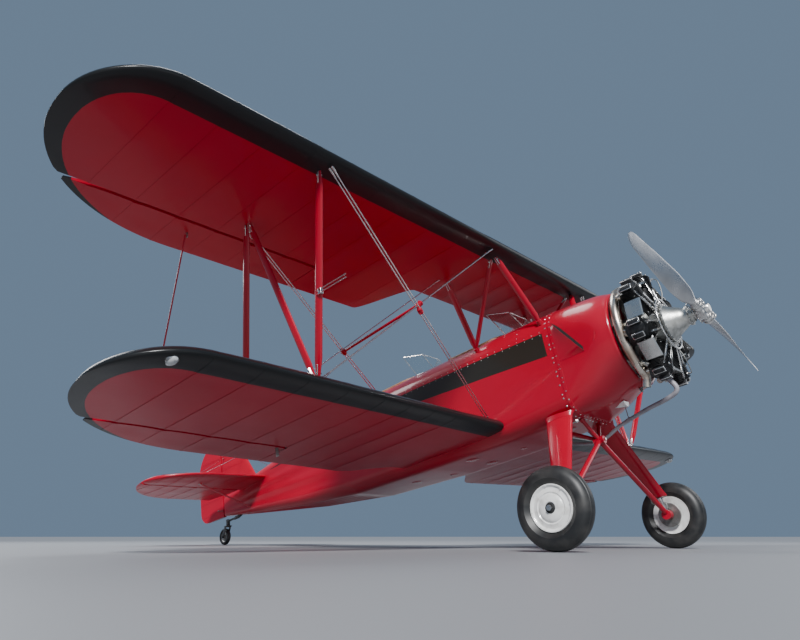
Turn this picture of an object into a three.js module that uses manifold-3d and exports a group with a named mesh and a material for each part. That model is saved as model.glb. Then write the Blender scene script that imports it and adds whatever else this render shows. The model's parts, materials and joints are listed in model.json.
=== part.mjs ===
// A three-seat open-cockpit biplane of the 1930s, parked on its main wheels and its tail wheel.
// Millimetres, +Z up, nose toward -Y, left wing toward +X. Pieces are drawn in the level airframe's
// own frame, whose origin is the lower wing's leading edge on the centre line, and the whole airframe
// is then tipped back onto its tail wheel.
import * as THREE from "three";
import { mergeVertices } from "three/addons/utils/BufferGeometryUtils.js";
import Module from "manifold-3d";

const wasm = await Module();
wasm.setup();

const degrees = THREE.MathUtils.degToRad;

// Wings
const chord = 1450;
const wingGap = 1400; // from the lower wing's flat underside up to the upper wing's
const stagger = 550; // how far the upper leading edge is ahead of the lower one
const upperTip = 4250;
const lowerTip = 3800;
const dihedral = Math.tan(degrees(1.5)); // lower wings only
const centreHalf = 750; // half the width of the centre section
const tipNoseRun = 500; // the tip's rounding along the span, ahead of its outermost point
const tipTailRun = 1250; // and behind it
const tipSplit = 0.34; // where along the chord the outermost point lies
const centreChord = 0.625; // share of the chord that the centre section keeps
const upperCutout = { corner: 1090, run: 250, depth: (1 - centreChord) * chord };
const lowerCutout = { corner: 1010, run: 520, depth: 0.2 * chord };

// Ailerons
const aileronInboard = 1870;
const aileronHinge = 0.75 * chord; // behind each wing's leading edge
const hingeHeight = 45; // above each wing's flat underside
const hingeReach = 6; // from a hinge's axis forward to the face that carries it
const surfaceSetback = 22; // from a hinge's axis back to the moving surface
const endGap = 8; // beside an aileron's inboard end
const hingeWidth = 14;

// Struts between the wings
const strutFoot = 2410;
const strutHead = 2710;
const frontSpar = 130; // behind a leading edge
const rearSpar = 900;
const cabaneRearSpar = 660;
const linkSpan = 3000; // where the strut that connects the ailerons stands
const linkSetback = 90; // its foot pin behind the aileron hinge
const linkHeadShift = 54; // how much further aft its head pin is than the stagger alone gives
const linkPinRise = 26; // from an aileron's surface to a pin
const linkWidth = 10;
const linkEye = 9; // radius round a pin
const linkPin = 5;
const linkHeadGap = 4; // beside the head, whose pin is left out

// Fuselage
const fireWall = -600;
const deckSplit = 690; // the upper longeron, where the side panels meet the deck
const tailJoin = 1900; // where the forward fuselage meets the rear one
const sternPost = 4410;
const wallThickness = 24;
const seatGap = 0.3; // between a piece and what it is seated on

// Engine and propeller
const thrustLine = 500;
const cylinderPlane = -1320;
const cylinderCount = 7;
const engineRadius = 525;
const barrelRadius = 74;
const headRadius = 86;
const caseRadius = 185;
const noseFront = -1640;
const propellerPlane = -1700;
const propellerRadius = 1180;
const propellerRest = degrees(14); // the left blade's droop as it stopped
const cowlFront = -1120;
const cowlRadius = 410;
const exhaustRadius = 395;
const exhaustPlane = -1180;
const exhaustTube = 36;

// Main gear
const wheelX = 1060;
const wheelY = -620;
const wheelZ = -800;
const tyreRadius = 285;
const tyreWidth = 160;
const rimRadius = 160;
const axleRadius = 20;
const gearApex = new THREE.Vector3(0, -600, -215);

// Tail
const parkedAngle = degrees(12);
const tailPlane = 560; // height of the stabiliser
const tailHalfSpan = 1420;
const tailLeading = 3400;
const elevatorHinge = 3960;
const elevatorTrailing = 4560;
const rudderHinge = 4440;
const rudderTrailing = 4950;
const finTop = 1360;
const torqueTube = 15;
const tailWheelRadius = 100;
const tailWheelY = 4480;

const looks = {
  red: { color: 0xb0101c, roughness: 0.28, metalness: 0 },
  silver: { color: 0xc4c7c9, roughness: 0.35, metalness: 0.9 },
  steel: { color: 0x8b8f92, roughness: 0.4, metalness: 0.9 },
  white: { color: 0xf1f1ee, roughness: 0.4, metalness: 0 },
  rubber: { color: 0x1b1b1c, roughness: 0.85, metalness: 0 },
  blackIron: { color: 0x26282a, roughness: 0.5, metalness: 0.7 },
  greyCase: { color: 0x8f9292, roughness: 0.45, metalness: 0.6 },
  brass: { color: 0xb6a380, roughness: 0.35, metalness: 0.9 },
  leather: { color: 0x5a3421, roughness: 0.65, metalness: 0 },
  black: { color: 0x18191b, roughness: 0.6, metalness: 0 },
  glass: { color: 0xdbe6e8, roughness: 0.08, metalness: 0, transparent: true, opacity: 0.35 },
};

const aircraft = new THREE.Group();
const airframe = new THREE.Group();
airframe.rotation.x = -parkedAngle;
aircraft.add(airframe);

const vec = (x, y, z) => new THREE.Vector3(x, y, z);
const mix = THREE.MathUtils.lerp;

// Shape helpers

// One closed surface with shared corners and no flat triangles, its faces pointing out.
function closed(geometry) {
  const bare = geometry.clone();
  bare.deleteAttribute("normal");
  bare.deleteAttribute("uv");
  const merged = mergeVertices(bare, 1e-3);
  const corners = merged.index.array;
  const kept = [];
  for (let i = 0; i < corners.length; i += 3) {
    const [a, b, c] = [corners[i], corners[i + 1], corners[i + 2]];
    if (a !== b && b !== c && c !== a) kept.push(a, b, c);
  }
  merged.setIndex(kept);
  return signedVolume(merged) < 0 ? flipped(merged) : merged;
}

function signedVolume(geometry) {
  const place = geometry.attributes.position;
  const corners = geometry.index.array;
  const [a, b, c] = [vec(), vec(), vec()];
  let total = 0;
  for (let i = 0; i < corners.length; i += 3) {
    a.fromBufferAttribute(place, corners[i]);
    b.fromBufferAttribute(place, corners[i + 1]);
    c.fromBufferAttribute(place, corners[i + 2]);
    total += a.dot(b.cross(c)) / 6;
  }
  return total;
}

function flipped(geometry) {
  const turned = geometry.clone();
  const corners = Array.from(turned.index.array);
  for (let i = 0; i < corners.length; i += 3) {
    [corners[i], corners[i + 1]] = [corners[i + 1], corners[i]];
  }
  turned.setIndex(corners);
  return turned;
}

function solidOf(geometry) {
  const shape = closed(geometry);
  return new wasm.Manifold(new wasm.Mesh({
    numProp: 3,
    vertProperties: new Float32Array(shape.attributes.position.array),
    triVerts: new Uint32Array(shape.index.array),
  }));
}

function geometryOf(solid) {
  const mesh = solid.getMesh();
  const geometry = new THREE.BufferGeometry();
  geometry.setAttribute("position", new THREE.BufferAttribute(mesh.vertProperties, 3));
  geometry.setIndex(new THREE.BufferAttribute(mesh.triVerts, 1));
  return geometry;
}

const join = (...parts) => geometryOf(parts.map(solidOf).reduce((whole, part) => whole.add(part)));
const common = (a, b) => geometryOf(solidOf(a).intersect(solidOf(b)));

function cut(geometry, ...tools) {
  return geometryOf(tools.map(solidOf).reduce((rest, tool) => rest.subtract(tool), solidOf(geometry)));
}

const moved = (geometry, x, y, z) => geometry.clone().translate(x, y, z);
const mirrored = (geometry) => flipped(closed(geometry).scale(-1, 1, 1));
const bothSides = (geometry) => join(geometry, mirrored(geometry));

// A box from its lowest corner to its highest one.
function box(low, high) {
  const size = high.clone().sub(low);
  const middle = low.clone().add(high).multiplyScalar(0.5);
  return new THREE.BoxGeometry(size.x, size.y, size.z).translate(middle.x, middle.y, middle.z);
}

// A skin through rings that have the same number of points, closed at both ends.
function loft(rings) {
  const around = rings[0].length;
  const points = rings.flat();
  const corners = [];
  for (let ring = 0; ring < rings.length - 1; ring++) {
    for (let side = 0; side < around; side++) {
      const a = ring * around + side;
      const b = ring * around + (side + 1) % around;
      corners.push(a, b, b + around, a, b + around, a + around);
    }
  }
  for (const [start, turn] of [[0, 1], [points.length - around, -1]]) {
    const middle = points.slice(start, start + around)
      .reduce((sum, point) => sum.add(point), vec(0, 0, 0)).divideScalar(around);
    const hub = points.push(middle) - 1;
    for (let side = 0; side < around; side++) {
      const a = start + side;
      const b = start + (side + 1) % around;
      corners.push(...(turn > 0 ? [hub, b, a] : [hub, a, b]));
    }
  }
  const geometry = new THREE.BufferGeometry().setFromPoints(points);
  geometry.setIndex(corners);
  return closed(geometry);
}

// A round bar between two points.
function rod(from, to, radius, sides = 8) {
  const along = to.clone().sub(from);
  const bar = new THREE.CylinderGeometry(radius, radius, along.length(), sides);
  bar.applyQuaternion(new THREE.Quaternion().setFromUnitVectors(vec(0, 1, 0), along.normalize()));
  const middle = from.clone().add(to).multiplyScalar(0.5);
  return bar.translate(middle.x, middle.y, middle.z);
}

// A streamlined strut: an oval in a level plane at each end, long in the direction of flight.
function strut(from, to, depth, width, endDepth = depth, endWidth = width) {
  const sides = 12;
  const oval = (middle, long, wide) => Array.from({ length: sides }, (_, side) => {
    const angle = (2 * Math.PI * side) / sides;
    return vec(middle.x + (wide / 2) * Math.cos(angle), middle.y + (long / 2) * Math.sin(angle), middle.z);
  });
  return loft([oval(from, depth, width), oval(to, endDepth, endWidth)]);
}

// A turned piece from [radius, along] pairs that start and end on its axis or close on themselves.
function turned(profile, sides, axis) {
  const outline = profile.map(([radius, along]) => new THREE.Vector2(radius, along));
  const shape = new THREE.LatheGeometry(outline, sides);
  if (axis === "x") shape.rotateZ(-Math.PI / 2);
  if (axis === "z") shape.rotateX(Math.PI / 2);
  return closed(shape);
}

function add(name, geometry, look, parent = airframe) {
  const mesh = new THREE.Mesh(closed(geometry), new THREE.MeshStandardMaterial(look));
  mesh.name = name;
  parent.add(mesh);
}

function addPair(name, leftGeometry, look) {
  add(`${name}_left`, leftGeometry, look);
  add(`${name}_right`, mirrored(leftGeometry), look);
}

// Wings and ailerons

// The wing's section: share of the chord, then the height of its top and of its underside.
const sectionTable = [
  // along, top, under
  [0, 0.035, 0.035],
  [0.0125, 0.0545, 0.0193],
  [0.05, 0.079, 0.0093],
  [0.12, 0.1, 0.003],
  [0.3, 0.117, 0],
  [0.5, 0.105, 0],
  [0.75, 0.063, 0],
  [1, 0.004, 0],
];

function wingRing(x, leading, trailing, depth, base) {
  const point = (along, height) => vec(x, mix(leading, trailing, along), base + depth * height);
  const over = sectionTable.map(([along, top]) => point(along, top)).reverse();
  const under = sectionTable.slice(1).map(([along, , low]) => point(along, low));
  return [...over, ...under];
}

const upperWing = {
  root: centreHalf + seatGap, tip: upperTip, cutout: upperCutout, nose: -stagger, base: wingGap, rise: 0,
};
const lowerWing = { root: 250, tip: lowerTip, cutout: lowerCutout, nose: 0, base: 0, rise: dihedral };

// 0 at a tip's outermost point, 1 where its rounding ends.
const rounding = (inset, run) => Math.sqrt(1 - Math.max(0, 1 - inset / run) ** 2);

// A wing's edges, depth and height at one place along its span.
function wingAt({ tip, cutout, nose, base, rise }, x) {
  const inset = tip - x;
  const widest = nose + tipSplit * chord;
  const leading = widest - tipSplit * chord * rounding(inset, tipNoseRun);
  const roundTrailing = widest + (1 - tipSplit) * chord * rounding(inset, tipTailRun);
  const missing = cutout.depth * THREE.MathUtils.smoothstep(cutout.corner - x, 0, cutout.run);
  const depth = roundTrailing - leading;
  return { leading, trailing: roundTrailing - missing, depth, base: base + x * rise };
}

// The height of a wing's top at one place.
function wingTop(wing, x, y) {
  const { leading, trailing, depth, base } = wingAt(wing, x);
  const along = (y - leading) / (trailing - leading);
  const next = sectionTable.findIndex((row) => row[0] >= along);
  const [before, after] = [sectionTable[next - 1], sectionTable[next]];
  return base + depth * mix(before[1], after[1], (along - before[0]) / (after[0] - before[0]));
}

function wingPanel(wing) {
  const { root, tip, cutout } = wing;
  const tipStations = 9;
  const cutStations = 6;
  const spans = [root];
  for (let step = 0; step <= cutStations; step++) {
    spans.push(cutout.corner - cutout.run * (1 - step / cutStations));
  }
  for (let step = tipStations; step >= 1; step--) {
    spans.push(tip - tipTailRun * (1 - Math.cos((Math.PI / 2) * (step / tipStations))));
  }
  const tipSliver = 2;
  spans.push(tip - tipSliver);
  const rings = spans.filter((x) => x >= root).map((x) => {
    const { leading, trailing, depth, base } = wingAt(wing, x);
    return wingRing(x, leading, trailing, depth, base);
  });
  return loft(rings);
}

// Cuts the aileron out of a wing and gives it its hinge arms and the lug for its connecting strut.
function splitAileron(panel, wing, lug) {
  const { nose, base, rise, tip } = wing;
  const hingeY = nose + aileronHinge;
  const reach = 600;
  const farCorner = vec(tip + reach, nose + 2 * chord, base + reach);
  const bay = box(vec(aileronInboard, hingeY - hingeReach, base - reach), farCorner);
  const cutter = box(vec(aileronInboard + endGap, hingeY + surfaceSetback, base - reach), farCorner);
  const arms = [0.08, 0.45, 0.82].map((share) => {
    const x = mix(aileronInboard, tip - tipNoseRun, share);
    const middle = vec(x, hingeY, base + hingeHeight + x * rise);
    return hingeArm(middle, "x", hingeReach - seatGap, surfaceSetback + 8);
  });
  return { wing: cut(panel, bay), aileron: join(common(panel, cutter), lug, ...arms) };
}

// The pins of the strut that connects the ailerons. Their places make it keep its length within
// about 10 mm while both ailerons swing together.
const linkFoot = vec(linkSpan, aileronHinge + linkSetback, 0);
linkFoot.z = wingTop(lowerWing, linkSpan, linkFoot.y) + linkPinRise;
const linkHead = vec(linkSpan, linkFoot.y - stagger + linkHeadShift, wingGap - linkPinRise);

// A lug beside the connecting strut's end, reaching from the aileron's surface to the strut's pin.
function linkLug(pin, rootZ, gapBeside, withPin) {
  const side = linkWidth / 2 + gapBeside;
  const [inner, outer] = [pin.x - side - linkWidth, pin.x - side];
  const eye = rod(vec(inner, pin.y, pin.z), vec(outer, pin.y, pin.z), linkEye, 14);
  const web = box(
    vec(inner, pin.y - linkEye, Math.min(rootZ, pin.z)),
    vec(outer, pin.y + linkEye, Math.max(rootZ, pin.z)),
  );
  const stub = rod(vec(inner + 1, pin.y, pin.z), vec(pin.x + side + 3, pin.y, pin.z), linkPin, 14);
  return withPin ? join(eye, web, stub) : join(eye, web);
}

// A lug that reaches from a moving surface to its hinge axis, round about that axis.
function hingeArm(middle, axis, radius, length) {
  const half = hingeWidth / 2;
  const side = axis === "x" ? vec(half, 0, 0) : vec(0, 0, half);
  const height = axis === "x" ? vec(0, 0, radius) : vec(radius, 0, 0);
  const eye = rod(middle.clone().sub(side), middle.clone().add(side), radius, 16);
  const low = middle.clone().sub(side).sub(height);
  const high = middle.clone().add(side).add(height).add(vec(0, length, 0));
  return join(eye, box(low, high));
}

// Fuselage

const bodyTable = [
  // y, half width, bottom, longeron, top, corner radius
  [fireWall, 410, -35, deckSplit, 950, 170],
  [0, 430, -60, deckSplit, 945, 140],
  [900, 425, -60, deckSplit, 935, 130],
  [tailJoin, 365, -30, deckSplit, 930, 120],
  [2800, 265, 70, 645, 820, 100],
  [3700, 150, 215, 570, 690, 60],
  [sternPost, 40, 330, 500, 570, 20],
];

function bodyRow(y) {
  const next = Math.max(1, bodyTable.findIndex((row) => row[0] >= y));
  const [before, after] = [bodyTable[next - 1], bodyTable[next]];
  const share = (y - before[0]) / (after[0] - before[0]);
  return before.map((value, column) => mix(value, after[column], share));
}

function bodyRing([y, halfWidth, bottom, longeron, top, corner], inset = 0) {
  const width = halfWidth - inset;
  const floor = bottom + inset;
  const radius = Math.min(Math.max(corner - inset, 5), width);
  const ring = [];
  const archSteps = 10;
  const cornerSteps = 4;
  for (let step = 0; step <= archSteps; step++) {
    const angle = (Math.PI * step) / archSteps;
    ring.push(vec(width * Math.cos(angle), y, longeron + (top - inset - longeron) * Math.sin(angle)));
  }
  for (const side of [-1, 1]) {
    for (let step = 0; step <= cornerSteps; step++) {
      const angle = (Math.PI / 2) * (side < 0 ? step / cornerSteps : 1 - step / cornerSteps);
      const x = width - radius + radius * Math.cos(angle);
      ring.push(vec(side * x, y, floor + radius * (1 - Math.sin(angle))));
    }
  }
  return ring;
}

// The fuselage between two stations, drawn in by an inset all round.
function bodyBetween(front, back, inset = 0) {
  const between = bodyTable.map((row) => row[0]).filter((y) => y > front && y < back);
  return loft([front, ...between, back].map((y) => bodyRing(bodyRow(y), inset)));
}

const cockpits = {
  front: { start: -60, end: 600, halfWidth: 300, cavityStart: -380, cavityEnd: 720 },
  rear: { start: 1010, end: 1610, halfWidth: 255, cavityStart: 760, cavityEnd: 1780 },
};

// A plan outline with round ends, standing as a prism.
function rimPrism({ start, end, halfWidth }) {
  const radius = 0.75 * halfWidth;
  const shape = new THREE.Shape();
  shape.moveTo(-halfWidth, start + radius);
  shape.absarc(-halfWidth + radius, start + radius, radius, Math.PI, 1.5 * Math.PI);
  shape.absarc(halfWidth - radius, start + radius, radius, 1.5 * Math.PI, 2 * Math.PI);
  shape.absarc(halfWidth - radius, end - radius, radius, 0, 0.5 * Math.PI);
  shape.absarc(-halfWidth + radius, end - radius, radius, 0.5 * Math.PI, Math.PI);
  shape.closePath();
  const height = 500;
  return new THREE.ExtrudeGeometry(shape, { depth: height, bevelEnabled: false, curveSegments: 5 })
    .translate(0, 0, deckSplit + 5);
}

// The forward fuselage with both cockpits hollowed out.
function forwardShell() {
  const cavities = Object.values(cockpits)
    .map(({ cavityStart, cavityEnd }) => bodyBetween(cavityStart, cavityEnd, wallThickness));
  return cut(bodyBetween(fireWall + seatGap, tailJoin), ...cavities);
}

function addFuselage(shell) {
  const wide = 3000;
  const below = box(vec(-wide, -wide, -wide), vec(wide, wide, deckSplit - seatGap / 2));
  const above = box(vec(-wide, -wide, deckSplit + seatGap / 2), vec(wide, wide, wide));
  add("fuselage_tub", common(shell, below), looks.red);
  add("cockpit_deck", cut(common(shell, above), ...Object.values(cockpits).map(rimPrism)), looks.red);
  const tubeEnd = vec(300, elevatorHinge, tailPlane);
  const tubeHole = rod(tubeEnd, tubeEnd.clone().setX(-tubeEnd.x), torqueTube + seatGap, 20);
  add("rear_fuselage", cut(bodyBetween(tailJoin + seatGap, sternPost), tubeHole), looks.red);
}

// The sheet-metal nose: a rounded lip in front, a shallow well behind the cylinders, and a cheek on each
// side that lets the hot air out.
function addCowl() {
  const nose = (y, radius) => [y, radius, thrustLine - radius, thrustLine, thrustLine + radius, radius];
  const sections = [
    bodyRow(fireWall),
    [-850, 422, 15, 590, 945, 330],
    [-1020, 425, 80, 520, 930, 400],
    nose(cowlFront + 30, cowlRadius),
    nose(cowlFront, cowlRadius - 25),
    nose(cowlFront + 10, cowlRadius - 50),
    nose(cowlFront + 130, cowlRadius - 70),
  ];
  const cheek = cowlCheek(sections[0], sections[1]);
  add("nose_cowl", join(loft(sections.map((row) => bodyRing(row))), cheek, mirrored(cheek)), looks.red);
}

// How far out the sheet lies at one height between two sections.
function sheetWidth(back, front, y, z) {
  const share = (y - back[0]) / (front[0] - back[0]);
  const [, halfWidth, , longeron, top] = back.map((value, column) => mix(value, front[column], share));
  const rise = Math.max(0, (z - longeron) / (top - longeron));
  return halfWidth * Math.sqrt(1 - rise ** 2);
}

// A wedge whose front edge stands proud of the cowl's side and which blends into it further back.
function cowlCheek(back, front) {
  const top = { y: -622, z: 775 };
  const foot = { y: -860, z: 400 };
  const rear = fireWall - 12;
  const proud = [0, 22, 30, 28, 0];
  const sunk = 14;
  const rings = proud.map((rise, step) => {
    const share = step / (proud.length - 1);
    const y = mix(top.y, foot.y, share);
    const z = mix(top.z, foot.z, share);
    const edge = sheetWidth(back, front, y, z);
    const tail = sheetWidth(back, front, rear, z);
    const outside = [vec(edge + rise, y, z), vec(tail + 1, rear, z)];
    return [...outside, vec(tail - sunk, rear, z), vec(edge - sunk, y, z)];
  });
  return loft(rings);
}

function addCockpitFittings(shell) {
  for (const [place, { start, end, cavityStart, cavityEnd, halfWidth }] of Object.entries(cockpits)) {
    const inner = wallThickness + 2 * seatGap;
    const wide = 1000;
    const panelFace = start - 4;
    const panelBottom = 470;
    const panel = common(
      bodyBetween(panelFace - 12, panelFace, inner),
      box(vec(-wide, -wide, panelBottom), vec(wide, 2 * wide, wide)),
    );
    add(`instrument_panel_${place}`, cut(panel, moved(shell, 0, 0, -seatGap)), looks.black);

    const cushion = 0.8 * halfWidth;
    const floorZ = bodyRow(end)[2] + inner;
    const profile = new THREE.Shape([
      [end - 420, floorZ], [end + 20, floorZ], [end + 95, 700],
      [end + 35, 715], [end - 60, 290], [end - 420, 270],
    ].map(([y, z]) => new THREE.Vector2(y, z)));
    const seat = new THREE.ExtrudeGeometry(profile, { depth: 2 * cushion, bevelEnabled: false })
      .rotateX(Math.PI / 2).rotateZ(Math.PI / 2).translate(-cushion, 0, 0);
    const inside = bodyBetween(cavityStart + 5, cavityEnd - 5, inner);
    add(`seat_${place}`, cut(common(seat, inside), moved(shell, 0, 0, seatGap)), looks.leather);

    add(`windshield_${place}`, windshield(start, halfWidth), looks.glass);
  }
}

// Three flat panes that lean back, standing on the deck.
function windshield(start, halfWidth) {
  const pane = 6;
  const sweep = 150;
  const height = 330;
  const bottom = 800;
  const lean = 0.55;
  const front = start - 190;
  const corner = 0.5 * halfWidth;
  const outside = [
    [-halfWidth, front + sweep], [-corner, front], [corner, front], [halfWidth, front + sweep],
  ];
  const inside = outside.map(([x, y]) => [x * (1 - pane / halfWidth), y + 1.6 * pane]).reverse();
  const shape = new THREE.Shape([...outside, ...inside].map(([x, y]) => new THREE.Vector2(x, y)));
  const glass = new THREE.ExtrudeGeometry(shape, { depth: height, bevelEnabled: false });
  const shear = new THREE.Matrix4().makeShear(0, 0, 0, 0, 0, lean);
  glass.applyMatrix4(shear);
  glass.translate(0, -lean * (950 - bottom), bottom);
  return cut(glass, moved(bothSides(bodyBetween(fireWall, tailJoin)), 0, 0, seatGap));
}

// Wings

function centreSection() {
  const ring = (x) => wingRing(x, -stagger, -stagger + centreChord * chord, chord, wingGap);
  return loft([ring(-centreHalf), ring(centreHalf)]);
}

function addWings() {
  add("center_section", centreSection(), looks.red);

  const headLug = linkLug(linkHead, wingGap + 15, linkHeadGap, false);
  const upper = splitAileron(wingPanel(upperWing), upperWing, headLug);
  addPair("upper_wing", upper.wing, looks.red);
  addPair("upper_aileron", upper.aileron, looks.red);

  const body = bothSides(bodyBetween(fireWall, tailJoin));
  const footLug = linkLug(linkFoot, linkFoot.z - linkPinRise - 15, seatGap, true);
  const lower = splitAileron(cut(wingPanel(lowerWing), moved(body, seatGap, 0, 0)), lowerWing, footLug);
  addPair("lower_wing", lower.wing, looks.red);
  addPair("lower_aileron", lower.aileron, looks.red);
  addStruts(upper.wing, lower.wing, body);
  addAileronLinks();
}

function addStruts(upper, lower, body) {
  const inWing = 55;
  const footZ = inWing + strutFoot * dihedral;
  const headZ = wingGap + inWing;
  const foot = (spar) => vec(strutFoot, spar, footZ);
  const head = (spar) => vec(strutHead, spar - stagger, headZ);
  const braces = join(
    strut(foot(frontSpar), head(frontSpar), 70, 28),
    strut(foot(rearSpar), head(rearSpar), 70, 28),
    strut(foot(frontSpar), head(rearSpar), 60, 24),
  );
  addPair(
    "interplane_strut",
    cut(braces, moved(upper, 0, 0, -seatGap), moved(lower, 0, 0, seatGap)),
    looks.red,
  );

  const cabaneHead = (spar) => vec(centreHalf - 60, spar - stagger, headZ);
  const cabaneFoot = (y) => vec(405, y, 812);
  const frontFoot = cabaneFoot(-540);
  const rearFoot = cabaneFoot(120);
  const socket = (place) => rod(place.clone().add(vec(4, 0, 4)), place.clone().add(vec(-60, 0, -60)), 24, 10);
  const cabane = join(
    strut(frontFoot, cabaneHead(frontSpar), 60, 26),
    strut(rearFoot, cabaneHead(cabaneRearSpar), 60, 26),
    strut(rearFoot, cabaneHead(frontSpar), 50, 22),
    socket(frontFoot),
    socket(rearFoot),
  );
  const clearances = [moved(centreSection(), 0, 0, -seatGap), moved(body, seatGap, 0, seatGap)];
  addPair("cabane_strut", cut(cabane, ...clearances), looks.red);
  addWires(upper, lower, body);
}

// The main flying and landing wires of one side, joined where they cross.
function addWires(upper, lower, body) {
  const wire = 4.5;
  const inboard = 40;
  const headZ = wingGap + 20;
  const footZ = 90 + strutFoot * dihedral;
  const flyFront = [vec(430, frontSpar, 120), vec(strutHead - inboard, frontSpar - stagger - 60, headZ)];
  const flyRear = [vec(430, rearSpar, 100), vec(strutHead - inboard, rearSpar - stagger + 60, headZ)];
  const land = [
    vec(strutFoot - inboard, frontSpar + 10, footZ),
    vec(centreHalf + 60, frontSpar - stagger - 60, headZ),
  ];
  const onLine = ([a, b], x) => a.clone().lerp(b, (x - a.x) / (b.x - a.x));
  const crossX = 1560;
  const spread = [onLine(flyFront, crossX), onLine(land, crossX), onLine(flyRear, crossX)];
  const wires = join(
    rod(...flyFront, wire, 6),
    rod(...flyRear, wire, 6),
    rod(...land, wire, 6),
    rod(spread[0], spread[1], 6, 6),
    rod(spread[1], spread[2], 6, 6),
  );
  const clearances = [moved(upper, 0, 0, -seatGap), moved(lower, 0, 0, seatGap), moved(body, seatGap, 0, 0)];
  addPair("bracing_wires", cut(wires, ...clearances), looks.steel);
}

// The strut that makes the lower aileron follow the upper one, pinned in a small clevis at each end.
function addAileronLinks() {
  const half = vec(linkWidth / 2, 0, 0);
  const eye = (pin) => rod(pin.clone().sub(half), pin.clone().add(half), linkEye, 14);
  const past = vec(2 * linkWidth, 0, 0);
  const hole = rod(linkFoot.clone().sub(past), linkFoot.clone().add(past), linkPin + seatGap, 16);
  const bar = strut(linkFoot, linkHead, 18, linkWidth);
  addPair("aileron_link", cut(join(bar, eye(linkFoot), eye(linkHead)), hole), looks.red);
}

// Engine

function addEngine() {
  const engine = new THREE.Group();
  engine.position.set(0, 0, thrustLine);
  airframe.add(engine);
  const back = cowlFront + 130 - seatGap;
  const crankcase = turned([
    [0, back], [150, back], [caseRadius - 5, cylinderPlane + 95], [caseRadius - 5, cylinderPlane - 95],
    [150, cylinderPlane - 130], [95, noseFront + 100], [62, noseFront], [0, noseFront],
  ], 28);
  add("crankcase", join(crankcase, ...baffles()), looks.greyCase, engine);

  const cylinder = engineCylinder();
  for (let number = 0; number < cylinderCount; number++) {
    const holder = new THREE.Group();
    holder.rotation.y = (2 * Math.PI * number) / cylinderCount;
    engine.add(holder);
    add(`cylinder_${number + 1}`, cylinder, looks.blackIron, holder);
  }
  addExhaust(engine);
}

// The sheet plates that close the room between one cylinder and the next, standing on the crankcase.
function baffles() {
  const half = Math.PI / cylinderCount;
  const thickness = 5;
  const place = cylinderPlane - 25;
  const widthAt = (radius) => (radius * Math.sin(half) - headRadius - seatGap) / Math.cos(half);
  const stem = 6;
  const outline = [
    [-stem, caseRadius - 15], [stem, caseRadius - 15], [stem, 212],
    [widthAt(382), 382], [-widthAt(382), 382], [-stem, 212],
  ].map(([x, z]) => new THREE.Vector2(x, z));
  const plate = new THREE.ExtrudeGeometry(new THREE.Shape(outline), { depth: thickness, bevelEnabled: false })
    .rotateX(Math.PI / 2)
    .translate(0, place, 0);
  return Array.from({ length: cylinderCount }, (_, number) => (
    plate.clone().rotateY(half * (2 * number + 1))
  ));
}

// One air-cooled cylinder standing on the crankcase, with its fins, rocker boxes and push-rod tubes.
function engineCylinder() {
  const foot = caseRadius + 4;
  const barrelTop = 340;
  const headTop = 465;
  const finCount = 4;
  const headFins = 3;
  const profile = [[0, foot], [barrelRadius - 4, foot], [barrelRadius - 4, foot + 12]];
  const fins = (count, from, to, inner, outer) => {
    for (let fin = 0; fin < count; fin++) {
      const step = (to - from) / count;
      profile.push([inner, from + fin * step], [outer, from + (fin + 0.5) * step]);
    }
    profile.push([inner, to]);
  };
  fins(finCount, foot + 16, barrelTop, barrelRadius - 20, barrelRadius);
  fins(headFins, barrelTop + 4, headTop - 20, headRadius - 20, headRadius);
  profile.push([50, headTop], [0, headTop + 8]);
  const barrel = turned(profile, 10, "z").translate(0, cylinderPlane, 0);
  const boxes = [-1, 1].map((side) => {
    const rocker = new THREE.BoxGeometry(44, 96, 62).rotateY(side * degrees(24));
    return rocker.translate(side * 48, cylinderPlane - 8, engineRadius - 58);
  });
  const tubes = [-1, 1].map((side) => rod(
    vec(side * 30, cylinderPlane - 100, caseRadius - 28),
    vec(side * 50, cylinderPlane - 44, engineRadius - 62),
    9,
    6,
  ));
  const caseBlock = rod(vec(0, cylinderPlane - 200, 0), vec(0, cylinderPlane + 200, 0), caseRadius - 4.6, 28);
  return cut(join(barrel, ...boxes, ...tubes), caseBlock);
}

// The exhaust collector: a part ring behind the cylinders with a stub to each head and one outlet.
function addExhaust(engine) {
  const arc = new THREE.Curve();
  const from = degrees(-160);
  const to = degrees(158);
  arc.getPoint = (share) => {
    const angle = mix(from, to, share);
    return vec(exhaustRadius * Math.sin(angle), exhaustPlane, exhaustRadius * Math.cos(angle));
  };
  const circle = new THREE.Shape().absarc(0, 0, exhaustTube, 0, 2 * Math.PI);
  const ring = new THREE.ExtrudeGeometry(circle, { steps: 22, extrudePath: arc, curveSegments: 4 });
  const outletStart = arc.getPoint(0);
  const outlet = join(
    new THREE.SphereGeometry(exhaustTube + 2, 12, 8).translate(outletStart.x, outletStart.y, outletStart.z),
    rod(outletStart, outletStart.clone().add(vec(6, 30, -90)), exhaustTube + 4, 14),
  );
  const stubs = Array.from({ length: cylinderCount }, (_, number) => {
    const angle = (2 * Math.PI * number) / cylinderCount;
    const x = exhaustRadius * Math.sin(angle);
    const z = exhaustRadius * Math.cos(angle);
    return rod(vec(x, cylinderPlane + headRadius + seatGap, z), vec(x, exhaustPlane, z), 24, 10);
  });
  add("exhaust_collector", join(ring, outlet, ...stubs), looks.brass, engine);
}

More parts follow.
